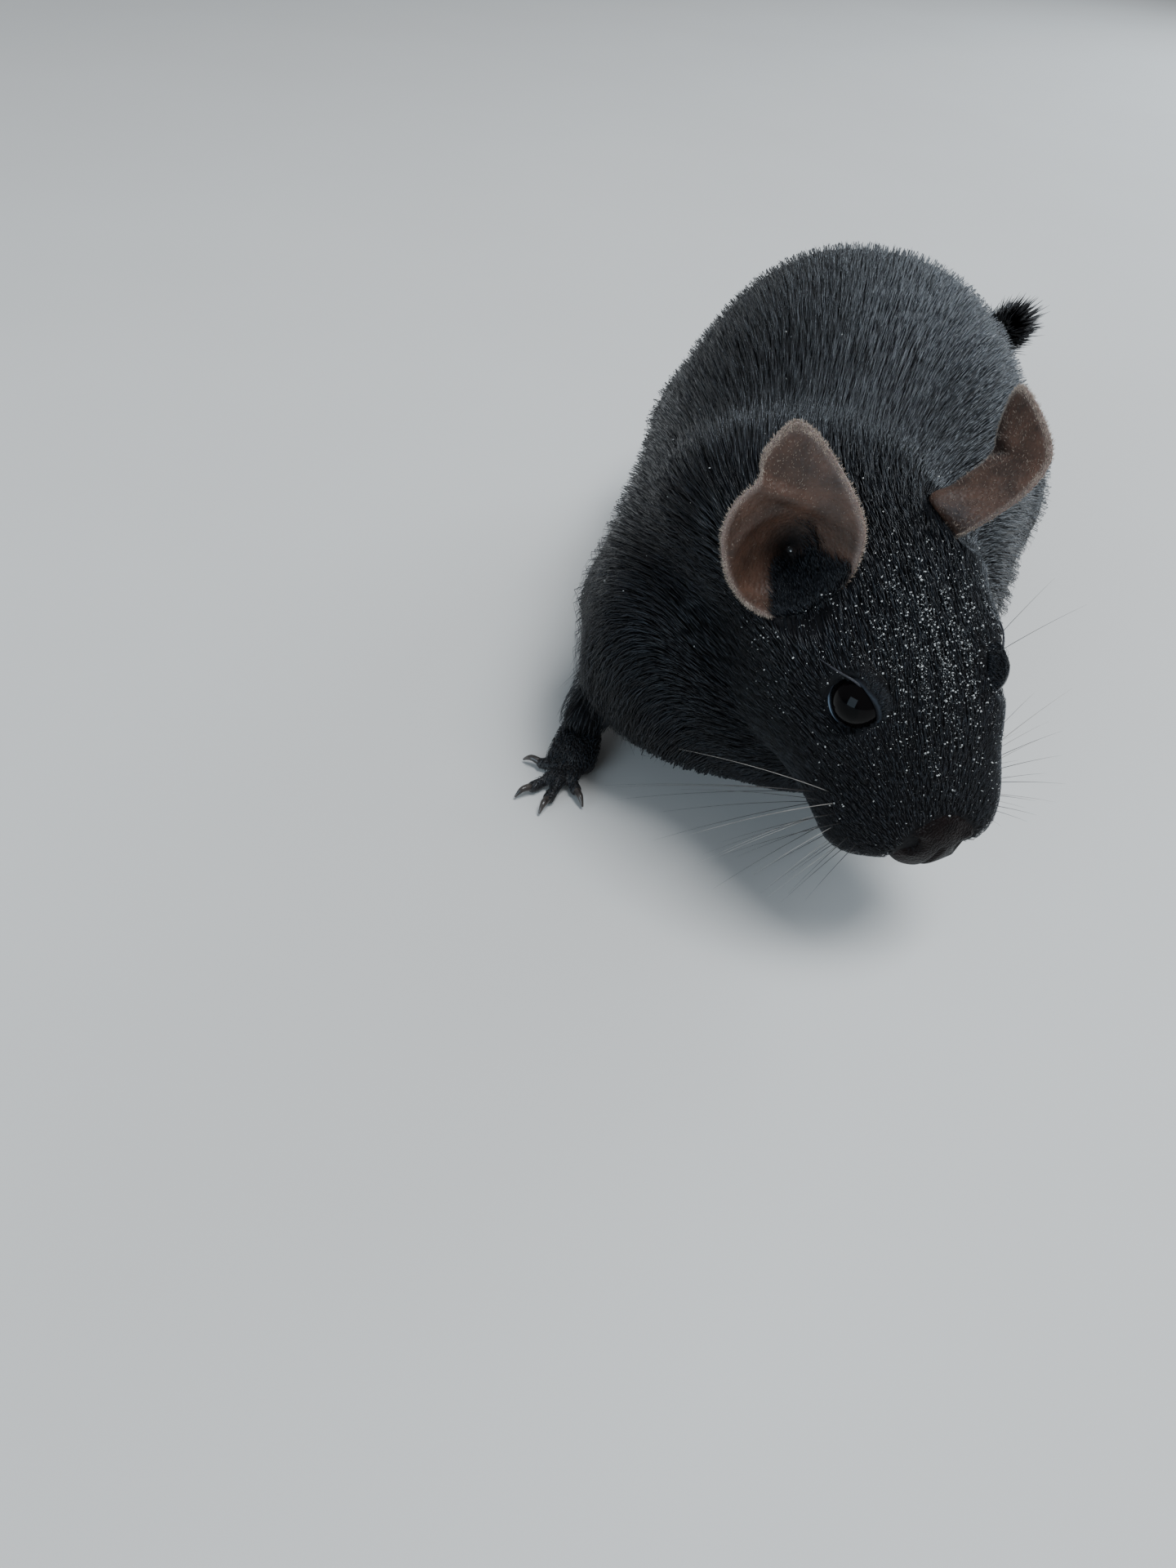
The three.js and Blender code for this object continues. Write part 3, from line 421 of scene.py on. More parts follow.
NECK_ROWS = [
    [*head_point((0, 36, -1)), 15.5, 12.5, 16], [*(head_point((0, 50, -3)) - (1, 0, 0)), 21.5, 14.5, 20],
    [-2, -32, 37, 26.5, 20, 20], [-1, -16, 36, 29, 23, 20],
]
STRIDE = {-1: (-31.0, -50.0), 1: (23.5, -38.0)}


def leg_forms(s):
    """Upper arm, forearm, thigh and shank of one side, s = -1 for the right and 1 for the left."""
    x, y = STRIDE[s]
    arm = loft([[x * 0.62, y + 21, 36, 9, 11, 11], [x * 0.80, y + 15, 26, 10.5, 14, 13],
                [x * 0.92, y + 10, 15, 8.5, 10, 9]], start=6, end=6, up=(0, 1, 0))
    fore = tube([[x * 0.85, y + 13, 14.5, 6.6], [x * 0.91, y + 8, 10.5, 5.6], [x * 0.98, y + 2.5, 7, 4.6],
                 [x, y - 1.5, 4.6, 3.9]], start=4, end=2.5, up=(0, 1, 0))
    thigh = ellipsoid((26.3 * s, 31, 23), (13.5, 25, 17.5), (-12, 0, 5 * s))
    shank = tube([[29 * s, 17, 14, 8.0], [28.5 * s, 30, 12, 7.2], [26.5 * s, 43, 9, 5.6],
                  [25.5 * s, 51, 7.5, 4.2]], start=6, end=3)
    return [arm, fore, thigh, shank]


TAIL_ROWS = np.array([
    [2, 66, 17, 1.5], [0, 76, 13.5, 1.22], [-7, 90, 9.0, 1.0], [-10, 105, 6.6, 0.86],
    [-1, 119, 7.6, 0.78], [15, 120, 14.5, 0.72], [25, 110, 24, 0.66], [29.5, 98, 33, 0.4],
]) * (1, 1, 1, 4.2)
head_form = moved(loft(HEAD_ROWS, around=90, step=1.0, start=3.6, end=8, square=2.4,
                       bulges=HEAD_BULGES), head_point)
trunk_form = loft(TRUNK_ROWS, start=10, end=13, square=2.15)
neck_form = loft(NECK_ROWS, start=8, end=8, square=2.1)
tail_form = tube(TAIL_ROWS, start=3, end=3, step=1.0)
print("forms of the trunk and head:", len(trunk_form[0]), len(head_form[0]), "points")


# %% [markdown]
# ## Ears as a height over an outline
# A degu's ear is a thin sheet, cupped like a spoon round the canal, with a notch in its rear edge
# and a fold across it. Here the outline and the depth are two functions, so the same two serve to
# draw the sheet, to hollow the head below it and to keep the fur from growing through it.

# %% Shape of the ears
EAR_LENGTH, EAR_WIDTH, EAR_DEPTH = 17.5, 17.0, 5.6
EAR_SEAT = {-1: np.array([-14.3, 38.7, 12.5]), 1: np.array([15.2, 39.9, 12.1])}
EAR_TIP = {-1: (-0.01, 0.70, 0.71), 1: (0.53, 0.81, 0.24)}
EAR_OPEN = {-1: (-0.41, -0.70, 0.58), 1: (0.93, -0.36, 0.03)}
EAR_LOBE = {-1: 0.46, 1: 0.26}            # how far the ear reaches below its canal, as a share


def ear_axes(s):
    """Three unit vectors as rows: a to the tip, b to the rear edge, c out of the opening."""
    tip, opening = head_way(EAR_TIP[s]), head_way(EAR_OPEN[s])
    c = unit(opening - tip * (opening @ tip))
    return np.stack([tip, -s * np.cross(c, tip), c])


def ear_edge(angle, s):
    """Outline: an oval that narrows to the tip, less a step in the rear edge below the tip. The
    lobe's share moves the canal along the oval's long axis."""
    c, n = np.cos(angle), np.sin(angle)
    step = np.where(n > 0, 1.9 * bell((c - 0.52) / 0.16), 0)
    taper = 1 - 0.46 * np.maximum(c, 0) ** 1.3
    lobe = EAR_LOBE[s]
    return EAR_LENGTH * ((1 - lobe) / 2 + (1 + lobe) / 2 * c), (EAR_WIDTH / 2 * taper - step) * n


def ear_depth(a, b):
    """Depth: a bowl round the canal and a pit in it, edges that curl up and a tip that bends back,
    as squares, a fold across the sheet from the notch and a low ridge round the rear of the bowl,
    as bells."""
    bowl = -EAR_DEPTH * bell(np.hypot(a, b) / 6.8) + 0.034 * b ** 2 - 0.005 * np.maximum(a, 0) ** 2
    fold = 1.0 * bell((a - 8.4 - 0.45 * b) / 1.1) * bell((b - 0.5) / 4.6)
    ridge = 0.6 * bell((np.hypot(a - 0.5, b - 1.5) - 5.6) / 0.9) * ramp(b, -1, 3)
    canal = -2.4 * bell(np.hypot(a + 0.8, b + 0.4) / 1.9)
    return bowl + fold + ridge + canal


def edge_table(s):
    """Bearing of the outline seen from the canal, in rising order, and its distance there."""
    a, b = ear_edge(np.linspace(-np.pi, np.pi, 361), s)
    order = np.argsort(np.arctan2(b, a))
    return np.arctan2(b, a)[order], np.hypot(a, b)[order]


EDGE_TABLE = {s: edge_table(s) for s in (-1, 1)}


def in_ear(p, s):
    """Coordinates a, b, c of points in one ear, and how far out they lie: 1 on the edge."""
    a, b, c = ((np.asarray(p) - head_point(EAR_SEAT[s])) @ ear_axes(s).T).T
    return a, b, c, np.hypot(a, b) / np.interp(np.arctan2(b, a), *EDGE_TABLE[s])


def below_ears(p, clearance):
    """Points in the bowl of an ear pushed back until they lie a clearance behind the sheet."""
    p = np.array(p, dtype=float)
    for s in (-1, 1):
        a, b, c, out = in_ear(p, s)
        excess = c - (ear_depth(a, b) - clearance)
        inside = (out < 1.02) & (excess > 0) & (excess < 9)
        p = p - np.where(inside, excess * (1 - ramp(out, 0.93, 1.02)), 0)[:, None] * ear_axes(s)[2]
    return p


def below_eyes(p, clearance):
    """Points over an eyeball pushed back until they lie a clearance below its surface."""
    p = np.array(p, dtype=float)
    for s in (-1, 1):
        look = head_way(EYE_LOOK * (s, 1, 1))
        off = p - head_point(EYE_SEAT[s])
        ahead = off @ look
        aside = np.linalg.norm(off - ahead[:, None] * look, axis=1)
        excess = ahead - (np.sqrt(np.maximum(EYE_RADIUS ** 2 - aside ** 2, 0)) - clearance)
        inside = (aside < EYE_RADIUS) & (excess > 0) & (ahead < 9)
        p = p - np.where(inside, excess * (1 - ramp(aside, 0.86 * EYE_RADIUS, EYE_RADIUS)), 0)[:, None] * look
    return p


ear_roots = [moved(ellipsoid(EAR_SEAT[s] + (-3 * s, 0.5, -4.2), (5.6, 6.8, 6.4)), head_point)
             for _, s in SIDES]
print("ear:", EAR_LENGTH, "mm from canal to tip")


# %% Melt the forms into a skin
def melted(form, voxel, rounds):
    """Remesh modifier on a grid of voxel millimetres, then Smooth; gives points, quads, normals."""
    rough = bpy.data.objects.new("rough", mesh_of("rough", *form))
    bpy.context.scene.collection.objects.link(rough)
    melt = rough.modifiers.new("melt", "REMESH")
    melt.mode, melt.voxel_size = "VOXEL", voxel / 1000
    soften = rough.modifiers.new("soften", "SMOOTH")
    soften.factor, soften.iterations = 0.5, rounds
    mesh = bpy.data.meshes.new_from_object(rough.evaluated_get(bpy.context.evaluated_depsgraph_get()))
    points, normals = np.zeros(len(mesh.vertices) * 3), np.zeros(len(mesh.vertices) * 3)
    mesh.vertices.foreach_get("co", points)
    mesh.vertex_normals.foreach_get("vector", normals)
    corners = np.zeros(len(mesh.loops), dtype=np.int32)
    mesh.loops.foreach_get("vertex_index", corners)
    bpy.data.objects.remove(rough)
    bpy.data.meshes.remove(mesh)
    return points.reshape(-1, 3) * 1000 - SHIFT, corners.reshape(-1, 4), normals.reshape(-1, 3)


def neighbours_mean(values, quads, rounds):
    """Each point's value moves to the mean of its neighbours along the edges, several times."""
    a = quads.ravel()
    b = np.roll(quads, -1, axis=1).ravel()
    size = len(values)
    count = np.maximum(np.bincount(a, minlength=size) + np.bincount(b, minlength=size), 1)
    for _ in range(rounds):
        sums = [np.bincount(a, v[b], size) + np.bincount(b, v[a], size) for v in values.T]
        values = np.stack([total / count for total in sums], -1)
    return values


def near(points, centre, size):
    """A round zone: 1 at its centre and nearly 0 at twice its size."""
    return bell(np.linalg.norm(np.asarray(points) - centre, axis=-1) / size)


PAD_AT, PAD_RADII = np.array([0, 2.9, -0.6]), np.array([6.15, 3.25, 5.55])
PAD_TURN = turn("z", -9) @ turn("y", 12) @ turn("x", -28)
NOSTRIL = {-1: np.array([-4.4, 1.7, 2.1]), 1: np.array([3.8, 0.3, 0.0])}


def headness(p):
    """1 on the head, 0 behind the ears, with a soft step between."""
    q = in_head(p)
    return (1 - ramp(q[:, 1], 36, 52)) * (1 - ramp(np.hypot(q[:, 0], q[:, 2] + 3), 22, 29))


def coat_depth(p):
    """How far the skin lies below the outer face of the coat, by region, in millimetres."""
    q = in_head(p)
    depth = 2.9 - 1.3 * (1 - ramp(p[:, 2], 6, 24))
    face = 0.45 + 0.9 * ramp(q[:, 1], 8, 40)
    depth = depth + (face - depth) * headness(p)
    eyes = sum(near(q, EYE_SEAT[s], 7) for s in (-1, 1))
    depth = depth * (1 - 0.7 * np.clip(eyes, 0, 1))
    for s in (-1, 1):
        x, y = STRIDE[s]
        feet = near(p, (x, y + 1, 5), 10) + near(p, (25.5 * s, 50, 6), 11)
        depth = depth - (depth - 0.7) * np.clip(feet, 0, 1)
    tail = ramp(p[:, 1], 78, 90)
    return depth + (0.9 - depth) * tail


def sunk(p, quads, normals):
    """Points moved inwards along their normals by the coat's depth, then evened out: most on the
    nape and at the elbows, where the skin is loose and the forms meet in a crease."""
    inner = p - normals * neighbours_mean(coat_depth(p)[:, None], quads, 6)
    inner = inner + 0.7 * (neighbours_mean(inner, quads, 3) - inner)
    elbows = sum(near(p, (x * 0.9, y + 11, 14), 8) for x, y in STRIDE.values())
    nape = (1 - headness(p)) * bell((p[:, 1] + 24) / 18) * ramp(p[:, 2], 26, 40)
    for zone, rounds in ((elbows, 16), (nape, 110)):
        inner = inner + np.clip(1.3 * zone, 0, 1)[:, None] * (neighbours_mean(inner, quads, rounds) - inner)
    return inner


body_points, body_quads, body_normals = melted(
    join(trunk_form, neck_form, head_form, tail_form, *ear_roots, *leg_forms(-1), *leg_forms(1)),
    0.86, 8)
body_points = below_eyes(below_ears(sunk(body_points, body_quads, body_normals), 0.8), 0.7)
print("skin:", len(body_points), "points,", 2 * len(body_quads), "triangles")

# %% [markdown]
# ## The lie of the coat
# Hair on the nose points back, parts over the eyes, runs between the ears and fans out over back
# and flanks. A few guide arrows say so; every point of the skin takes the mean of the arrows
# around it, weighted by bells, and the field is laid flat on the skin and smoothed.

# %% Guide arrows
HEAD_GUIDES = [((0, 3, 3), (0, 1, 0.3)), ((0, 14, 10), (0, 1, 0.15)), ((0, 26, 14), (0, 1, 0.05)),
               ((0, 40, 14), (0, 1, 0)), ((0, 10, -16), (0, 1, -0.2)), ((0, 28, -18), (0, 1, -0.1))]
for s in (-1, 1):
    HEAD_GUIDES += [((7 * s, 14, 7), (0.2 * s, 1, 0.1)), ((9 * s, 29, 12), (0.1 * s, 1, 0.1)),
                    ((11 * s, 12, 0), (0.3 * s, 1, 0.05)), ((9 * s, 5, -4), (0.7 * s, 0.8, -0.05)),
                    ((14 * s, 22, -2), (0.1 * s, 1, -0.2)), ((16 * s, 32, -3), (0, 1, -0.35)),
                    ((13 * s, 18, -12), (0.1 * s, 1, -0.35)), ((6 * s, 6, -11), (0.3 * s, 0.9, -0.3))]
BODY_GUIDES = [((0, -30, 58), (0, 1, 0.05)), ((0, 0, 62), (0, 1, 0)), ((0, 35, 62), (0, 1, -0.1)),
               ((0, 60, 52), (0, 0.8, -0.5)), ((0, 78, 30), (0, 0.45, -0.9)), ((0, -50, 10), (0, 0.7, -0.6)),
               ((0, -10, 6), (0, 1, 0)), ((0, 40, 5), (0, 1, 0))]
for s in (-1, 1):
    x, y = STRIDE[s]
    BODY_GUIDES += [((24 * s, -32, 46), (0.3 * s, 0.9, -0.3)), ((22 * s, 0, 56), (0.3 * s, 1, -0.15)),
                    ((24 * s, 40, 54), (0.3 * s, 0.9, -0.3)), ((34 * s, -20, 28), (0, 0.8, -0.5)),
                    ((36 * s, 10, 34), (0, 0.85, -0.45)), ((36 * s, 45, 28), (0, 0.7, -0.65)),
                    ((20 * s, 72, 24), (-0.1 * s, 0.6, -0.75)), ((x, y + 16, 22), (0, 0.25, -1)),
                    ((x, y + 8, 9), (0, -0.5, -0.85)), ((30 * s, 26, 8), (0, 0.5, -0.8)),
                    ((25 * s, 52, 8), (0, 0.1, -1)), ((30 * s, -2, 12), (0, 0.8, -0.5))]
guide_at = np.vstack([head_point([g[0] for g in HEAD_GUIDES]), [g[0] for g in BODY_GUIDES]])
guide_way = np.vstack([head_way([g[1] for g in HEAD_GUIDES]), unit([g[1] for g in BODY_GUIDES])])
guide_size = np.r_[np.full(len(HEAD_GUIDES), 8.0), np.full(len(BODY_GUIDES), 15.0)]
tail_line = ease(TAIL_ROWS, 240)
tail_way = unit(np.gradient(tail_line[:, :3], axis=0))
print("guide arrows:", len(guide_at))


def lie_at(p):
    """Weighted mean of the guide arrows. Round the eyes it also points away from them, and past
    the rump it turns into the line of the tail."""
    gap = np.linalg.norm(p[:, None] - guide_at, axis=-1) / guide_size
    lie = unit((bell(gap) + 1e-6 / (1 + gap ** 4)) @ guide_way)
    for s in (-1, 1):
        off = p - head_point(EYE_SEAT[s])
        lie = unit(lie + 0.9 * near(p, head_point(EYE_SEAT[s]), 5.0)[:, None] * unit(off))
    back = np.flatnonzero(p[:, 1] > 70)
    off = np.linalg.norm(p[back, None] - tail_line[::8, :3], axis=-1)
    tail = ramp(10 - off.min(1), 0, 6)[:, None]
    lie[back] = lie[back] * (1 - tail) + tail_way[::8][off.argmin(1)] * tail
    return lie


def flat(v, normals):
    """Directions laid in the plane of the surface."""
    return unit(v - (v * normals).sum(-1, keepdims=True) * normals)


# %% A skin that can be asked for its height
def crossed_diagonals(points, quads):
    """Cross product of each quad's diagonals: along its normal, and twice its area long."""
    return np.cross(points[quads[:, 2]] - points[quads[:, 0]], points[quads[:, 3]] - points[quads[:, 1]])


def field_of(points, quads, reach=9, cell=1.0):
    """Boxes of cell millimetres round the skin, each of which knows a near point of it: boxes on
    the skin come first and pass their point on to empty neighbours, once for each step of reach."""
    crossed = crossed_diagonals(points, quads)
    normals = np.stack([np.bincount(quads.ravel(), np.repeat(v, 4), len(points)) for v in crossed.T], -1)
    normals = unit(neighbours_mean(unit(normals), quads, 2))
    low = points.min(0) - (reach + 1) * cell
    grid = np.full(((points.max(0) - low) / cell).astype(int) + reach + 2, -1, dtype=np.int32)
    grid[tuple(((points - low) / cell).astype(int).T)] = np.arange(len(points))
    for _ in range(reach):
        for axis in range(3):
            for step in (1, -1):
                grid = np.where(grid < 0, np.roll(grid, step, axis), grid)
    lie = flat(neighbours_mean(flat(lie_at(points), normals), quads, 12), normals)
    return {"points": points, "quads": quads, "normals": normals, "lie": lie,
            "grid": grid, "low": low, "cell": cell}


def nearest(field, p):
    """Index of a near point of the skin for each point, or -1 where the skin is far."""
    index = ((p - field["low"]) / field["cell"]).astype(int)
    index = np.clip(index, 0, np.array(field["grid"].shape) - 1)
    return field["grid"][tuple(index.T)]


body = field_of(body_points, body_quads)
FLESH = ["torso", "neck", "head", "lower_jaw", "tail_base", "tail_middle", "tail_brush"]
FLESH += [f"{part}_{side}" for part in ("upper_arm", "forearm", "thigh", "shank") for side, _ in SIDES]
show("skin", mesh_of("skin", body_points, body_quads), SKIN, FLESH)

# %% [markdown]
# ## Hair as blades
# Particle hair doesn't survive an export, so every tuft here is a small closed blade: a flat
# triangle at the root, a wider one half way and a point, ten faces in all. The path of a tuft is
# walked over the skin: each step follows the lie and is set back to its height above the skin, so
# no hair dives in or stands off where the body bends.

# %% Sowing, combing and drawing tufts
BLADE = np.array([[0, 1, 2], [0, 3, 4], [0, 4, 1], [1, 4, 5], [1, 5, 2], [2, 5, 3], [2, 3, 0],
                  [3, 6, 4], [4, 6, 5], [5, 6, 3]])
BLADE_THICK = 0.3                         # height of a tuft's section, as a share of its width
# The pale tint, and with it the painted sheen, grows from the root to the tip of each tuft.
BLADE_PALE = (0.15, 0.15, 0.15, 0.6, 0.6, 0.6, 1.0)     # paleness of its seven points
PATCH = 0.0015                            # half the side of a tuft's patch of OFBake


def sow(field, density, seed):
    """Random roots: each quad gets its share by area times density, spread evenly along the list,
    and a root lies at a random mix of the quad's four corners. Gives roots, normals, lie and the
    generator of random numbers, so that whoever sows goes on with the same one."""
    rng = np.random.default_rng(seed)
    quads, points = field["quads"], field["points"]
    area = np.linalg.norm(crossed_diagonals(points, quads), axis=1) / 2
    share = np.cumsum(area * density(points[quads].mean(1)))
    count = int(share[-1])
    chosen = np.searchsorted(share, (np.arange(count) + rng.random(count)) / count * share[-1])
    u, v = rng.random((2, count, 1))
    mix = lambda values: ((values[quads[chosen, 0]] * (1 - u) + values[quads[chosen, 1]] * u) * (1 - v)
                          + (values[quads[chosen, 3]] * (1 - u) + values[quads[chosen, 2]] * u) * v)
    return mix(points), unit(mix(field["normals"])), unit(mix(field["lie"])), rng


def comb(field, root, way, length, heights):
    """Walks each tuft over the skin in two steps of half its length; after a step the point is
    set to its height above the nearest skin. Gives the points of the path and the normals there."""
    p, path, normals = root, [root], []
    at = nearest(field, p)
    for height in heights:
        blend = flat(way + 1.2 * field["lie"][at], field["normals"][at])
        p = p + blend * (length * 0.5)[:, None]
        found = nearest(field, p)
        at = np.where(found < 0, at, found)
        above = ((p - field["points"][at]) * field["normals"][at]).sum(-1)
        p = p + field["normals"][at] * (height - above)[:, None]
        way = blend
        path.append(p)
        normals.append(field["normals"][at])
    return path, normals


def blades(path, normals, width):
    """Seven points a tuft: left, right and top of a ring at the root and half way, then the tip."""
    root, middle, tip = path
    along = unit(tip - root)
    side = unit(np.cross(along, normals[0]))
    top = np.cross(side, along)
    w = width[:, None]
    rings = [ring for centre, k in ((root, 0.7), (middle, 1.0)) for ring in
             (centre - side * w * 0.5 * k, centre + side * w * 0.5 * k, centre + top * w * BLADE_THICK * k)]
    points = np.stack([*rings, tip], 1)
    faces = BLADE[None] + 7 * np.arange(len(root))[:, None, None]
    return points.reshape(-1, 3), faces.reshape(-1, 3)


def unwrap(p):
    """A place between 0 and 1 on the skin laid flat: the body is rolled out round its own axis,
    the head round its own in a chart above it, and what lies past the rump has a third chart."""
    q = in_head(p)
    on_head = headness(p) > 0.5
    body_u = np.arctan2(p[:, 0], p[:, 2] - 32) / (2 * np.pi) + 0.5
    body_v = np.clip((p[:, 1] + 75) / 165, 0, 1)
    head_u = np.arctan2(q[:, 0], q[:, 2] + 2) / (2 * np.pi) + 0.5
    head_v = np.clip((q[:, 1] + 6) / 56, 0, 1)
    tail_v = np.clip((p[:, 1] - 85) / 45, 0, 1)
    zones = [on_head, p[:, 1] > 85]
    u = np.select(zones, [0.02 + 0.46 * head_u, 0.52 + 0.46 * body_u], 0.02 + 0.96 * body_u)
    v = np.select(zones, [0.70 + 0.28 * head_v, 0.70 + 0.28 * tail_v], 0.02 + 0.64 * body_v)
    return np.stack([u, v], -1)


def show_tufts(name, path, normals, width, pale, material=COAT):
    """Draws tufts as one piece, with a patch of OFBake for each and its paleness as attribute."""
    points, faces = blades(path, normals, width)
    mesh = mesh_of(name, points, faces)
    attribute(mesh, "pale", np.repeat(pale, 7).reshape(-1, 7) * BLADE_PALE)
    patch = np.array([[-1, -1], [1, -1], [0, -1], [-1, 0], [1, 0], [0, 0], [0, 1]]) * PATCH
    uv = (unwrap(path[0])[:, None] + patch).reshape(-1, 2)[faces.ravel()]
    mesh.uv_layers.new(name="OFBake").data.foreach_set("uv", uv.astype(np.float32).ravel())
    show(name, mesh, material)


OFF_EARS, OFF_EYES, OFF_FLOOR = 1.4, 0.5, 0.15


def clear_of(p):
    """Keeps points above the floor, out of the bowls of the ears and off the eyeballs."""
    p = below_eyes(below_ears(p, OFF_EARS), OFF_EYES)
    p[:, 2] = np.maximum(p[:, 2], OFF_FLOOR)
    return p


# %% Zones of the coat
def bare(p):
    """True where no hair grows: eyes, nose pad, inner ears, soles."""
    q = in_head(p)
    none = np.linalg.norm((q - PAD_AT) @ PAD_TURN / (PAD_RADII + (0.1, 0.9, -0.45)), axis=1) < 1
    for s in (-1, 1):
        none |= np.linalg.norm(q - EYE_SEAT[s], axis=1) < EYE_RADIUS + 0.42
        a, b, c, out = in_ear(p, s)
        none |= (out < 0.95) & (c > ear_depth(a, b) - 3) & (c < 8)
    return none | (p[:, 1] > 88) | (p[:, 2] < 1.2)


def density_at(p):
    """Tufts to a square millimetre: most on the muzzle, fewest on the belly."""
    q = in_head(p)
    head = 9.5 - 4.5 * ramp(q[:, 1], 4, 34)
    trunk = 4.3 * (0.30 + 0.70 * ramp(p[:, 2], 8, 24))
    share = headness(p)
    return np.where(bare(p), 0, head * share + trunk * (1 - share)) * 1


def length_at(p):
    """Length of hair in millimetres: short on the muzzle and feet and round eyes and ears."""
    q = in_head(p)
    face = 1.6 + 4.4 * ramp(q[:, 1], 4, 42)
    trunk = 9.0 + 3.0 * ramp(p[:, 1], -20, 55) * ramp(p[:, 2], 14, 34)
    long = face * headness(p) + trunk * (1 - headness(p))
    for s in (-1, 1):
        x, y = STRIDE[s]
        long = long * (1 - 0.62 * near(q, EYE_SEAT[s], 6.5))
        long = long * (1 - 0.55 * near(p, (x, y, 3), 8)) * (1 - 0.72 * near(p, (25.5 * s, 46, 4), 13))
        long = long * (1 - 0.55 * near(q, EAR_SEAT[s] * (1, 1, 0.7), 9))
    return long


MOST_TUFTS = 17500                        # in one piece, so that none has too many triangles


def coat(name, seed, density, stretch=1.0, lift=1.0, slim=1.0):
    """Sows and combs the coat and shows it in pieces, from nose to rump. Its way is the lie swung
    aside by two slow waves and a little chance; few tufts are pale, and the pale tint is partly the
    hairs' own random tone and partly painted sheen, raised on the upper left side and the back,
    where the light falls."""
    root, normals, lie, rng = sow(body, density, seed)
    order = np.argsort(root[:, 1] + 200 * (headness(root) < 0.5))
    root, normals, lie = root[order], normals[order], lie[order]
    count = len(root)
    waves = np.sin(root @ (0.9, 0.5, 0.7)) * 0.10 + np.sin(root @ (-0.35, 0.8, 0.45) + 1.3) * 0.08
    swing = 0.7 * waves + 0.06 * rng.standard_normal(count)
    way = unit(lie + np.cross(normals, lie) * swing[:, None])
    long = length_at(root) * stretch * rng.uniform(0.72, 1.25, count)
    deep = coat_depth(root) * lift
    heights = deep * rng.uniform(0.5, 0.85, count), deep * rng.uniform(0.5, 0.95, count)
    path, ups = comb(body, root - normals * 0.25, way, long, heights)
    path = [path[0], clear_of(path[1]), clear_of(path[2])]
    width = slim * (0.09 + 0.013 * long) * rng.uniform(0.75, 1.25, count)
    # Painted sheen: pale tufts are made more common on the upper left side of the back, where the cool light
    # falls.
    sheen_side = ramp(root[:, 0], -6, 26) * ramp(root[:, 1], -30, 20) * ramp(root[:, 2], 20, 44)
    pale = np.minimum(rng.random(count) ** 2.3 * (0.30 + 0.95 * sheen_side), 1)
    for k, start in enumerate(range(0, count, MOST_TUFTS), 1):
        part = slice(start, start + MOST_TUFTS)
        show_tufts(f"{name}_{k}", [v[part] for v in path], [v[part] for v in ups], width[part], pale[part])
    return count


def guard_at(p):
    """Guard hairs to a square millimetre: a few on back, rump and flanks, none on the face."""
    return np.where(bare(p), 0, (1 - headness(p)) * ramp(p[:, 2], 16, 34)) * 1.1


print("tufts in the coat:", coat("coat", 11, density_at))
print("guard hairs:", coat("guard_hair", 12, guard_at, stretch=1.3, lift=1.5, slim=0.42))

# %% [markdown]
# ## Eyes and lids
# The eye is a wet dark ball, a little steeper where the cornea stands out. A texture could paint
# iris and pupil, but numbers stored on the points follow the ball from every side. The lids are
# one ring, drawn out to a corner in front and behind, with a pale bluish painted highlight along
# their inner edge.

# %% Eyeballs
CORNEA = 0.035                            # how far the cornea stands out, as a share of the radius
EYE_STEPS = 72


def eye_axes(s):
    """Three unit vectors as rows: forward along the lids, up across them and out of the eye."""
    look = head_way(EYE_LOOK * (s, 1, 1))
    forward = flat(head_way((0, -1, 0)), look)
    across = np.cross(look, forward)
    return np.stack([forward, across * np.sign(head_way((0, 0, 1)) @ across), look])


def eyeball(s):
    """Polar rings about the look: the radius grows by a bell of the polar angle at the cornea."""
    polar = np.linspace(0, np.pi, 61)[1:-1]
    angle = np.arange(EYE_STEPS) / EYE_STEPS * 2 * np.pi
    radius = EYE_RADIUS * (1 + CORNEA * bell(polar / 0.7))
    x, y = np.outer(np.sin(polar), np.cos(angle)), np.outer(np.sin(polar), np.sin(angle))
    z = np.repeat(np.cos(polar)[:, None], EYE_STEPS, 1)
    centre, axes = head_point(EYE_SEAT[s]), eye_axes(s)
    rings = centre + np.stack([x, y, z], -1) * radius[:, None, None] @ axes
    front, rear = centre + axes[2] * EYE_RADIUS * (1 + CORNEA), centre - axes[2] * EYE_RADIUS
    points, faces = closed_rings(rings, front, rear)
    return points, faces, np.r_[0, np.repeat(polar, EYE_STEPS), np.pi]


# %% Lids and their hair
LID_STEPS, SECTION_STEPS = 120, 28        # points round the slit and round the lid's section
LID_HAIRS = 3000


def closed_ring(grid):
    """Triangles of a grid that closes both ways, as a bent tube does."""
    rows, columns = grid.shape[:2]
    i, j = np.meshgrid(np.arange(rows), np.arange(columns), indexing="ij")
    at = lambda a, b: (a % rows) * columns + b % columns
    quads = np.stack([at(i, j), at(i + 1, j), at(i + 1, j + 1), at(i, j + 1)], -1).reshape(-1, 4)
    points = grid.reshape(-1, 3)
    faces = np.vstack([quads[:, [0, 1, 2]], quads[:, [0, 2, 3]]])
    corners = points[faces] - points.mean(0)
    volume = np.einsum("ij,ij->", corners[:, 0], np.cross(corners[:, 1], corners[:, 2]))
    return points, faces if volume > 0 else faces[:, ::-1]


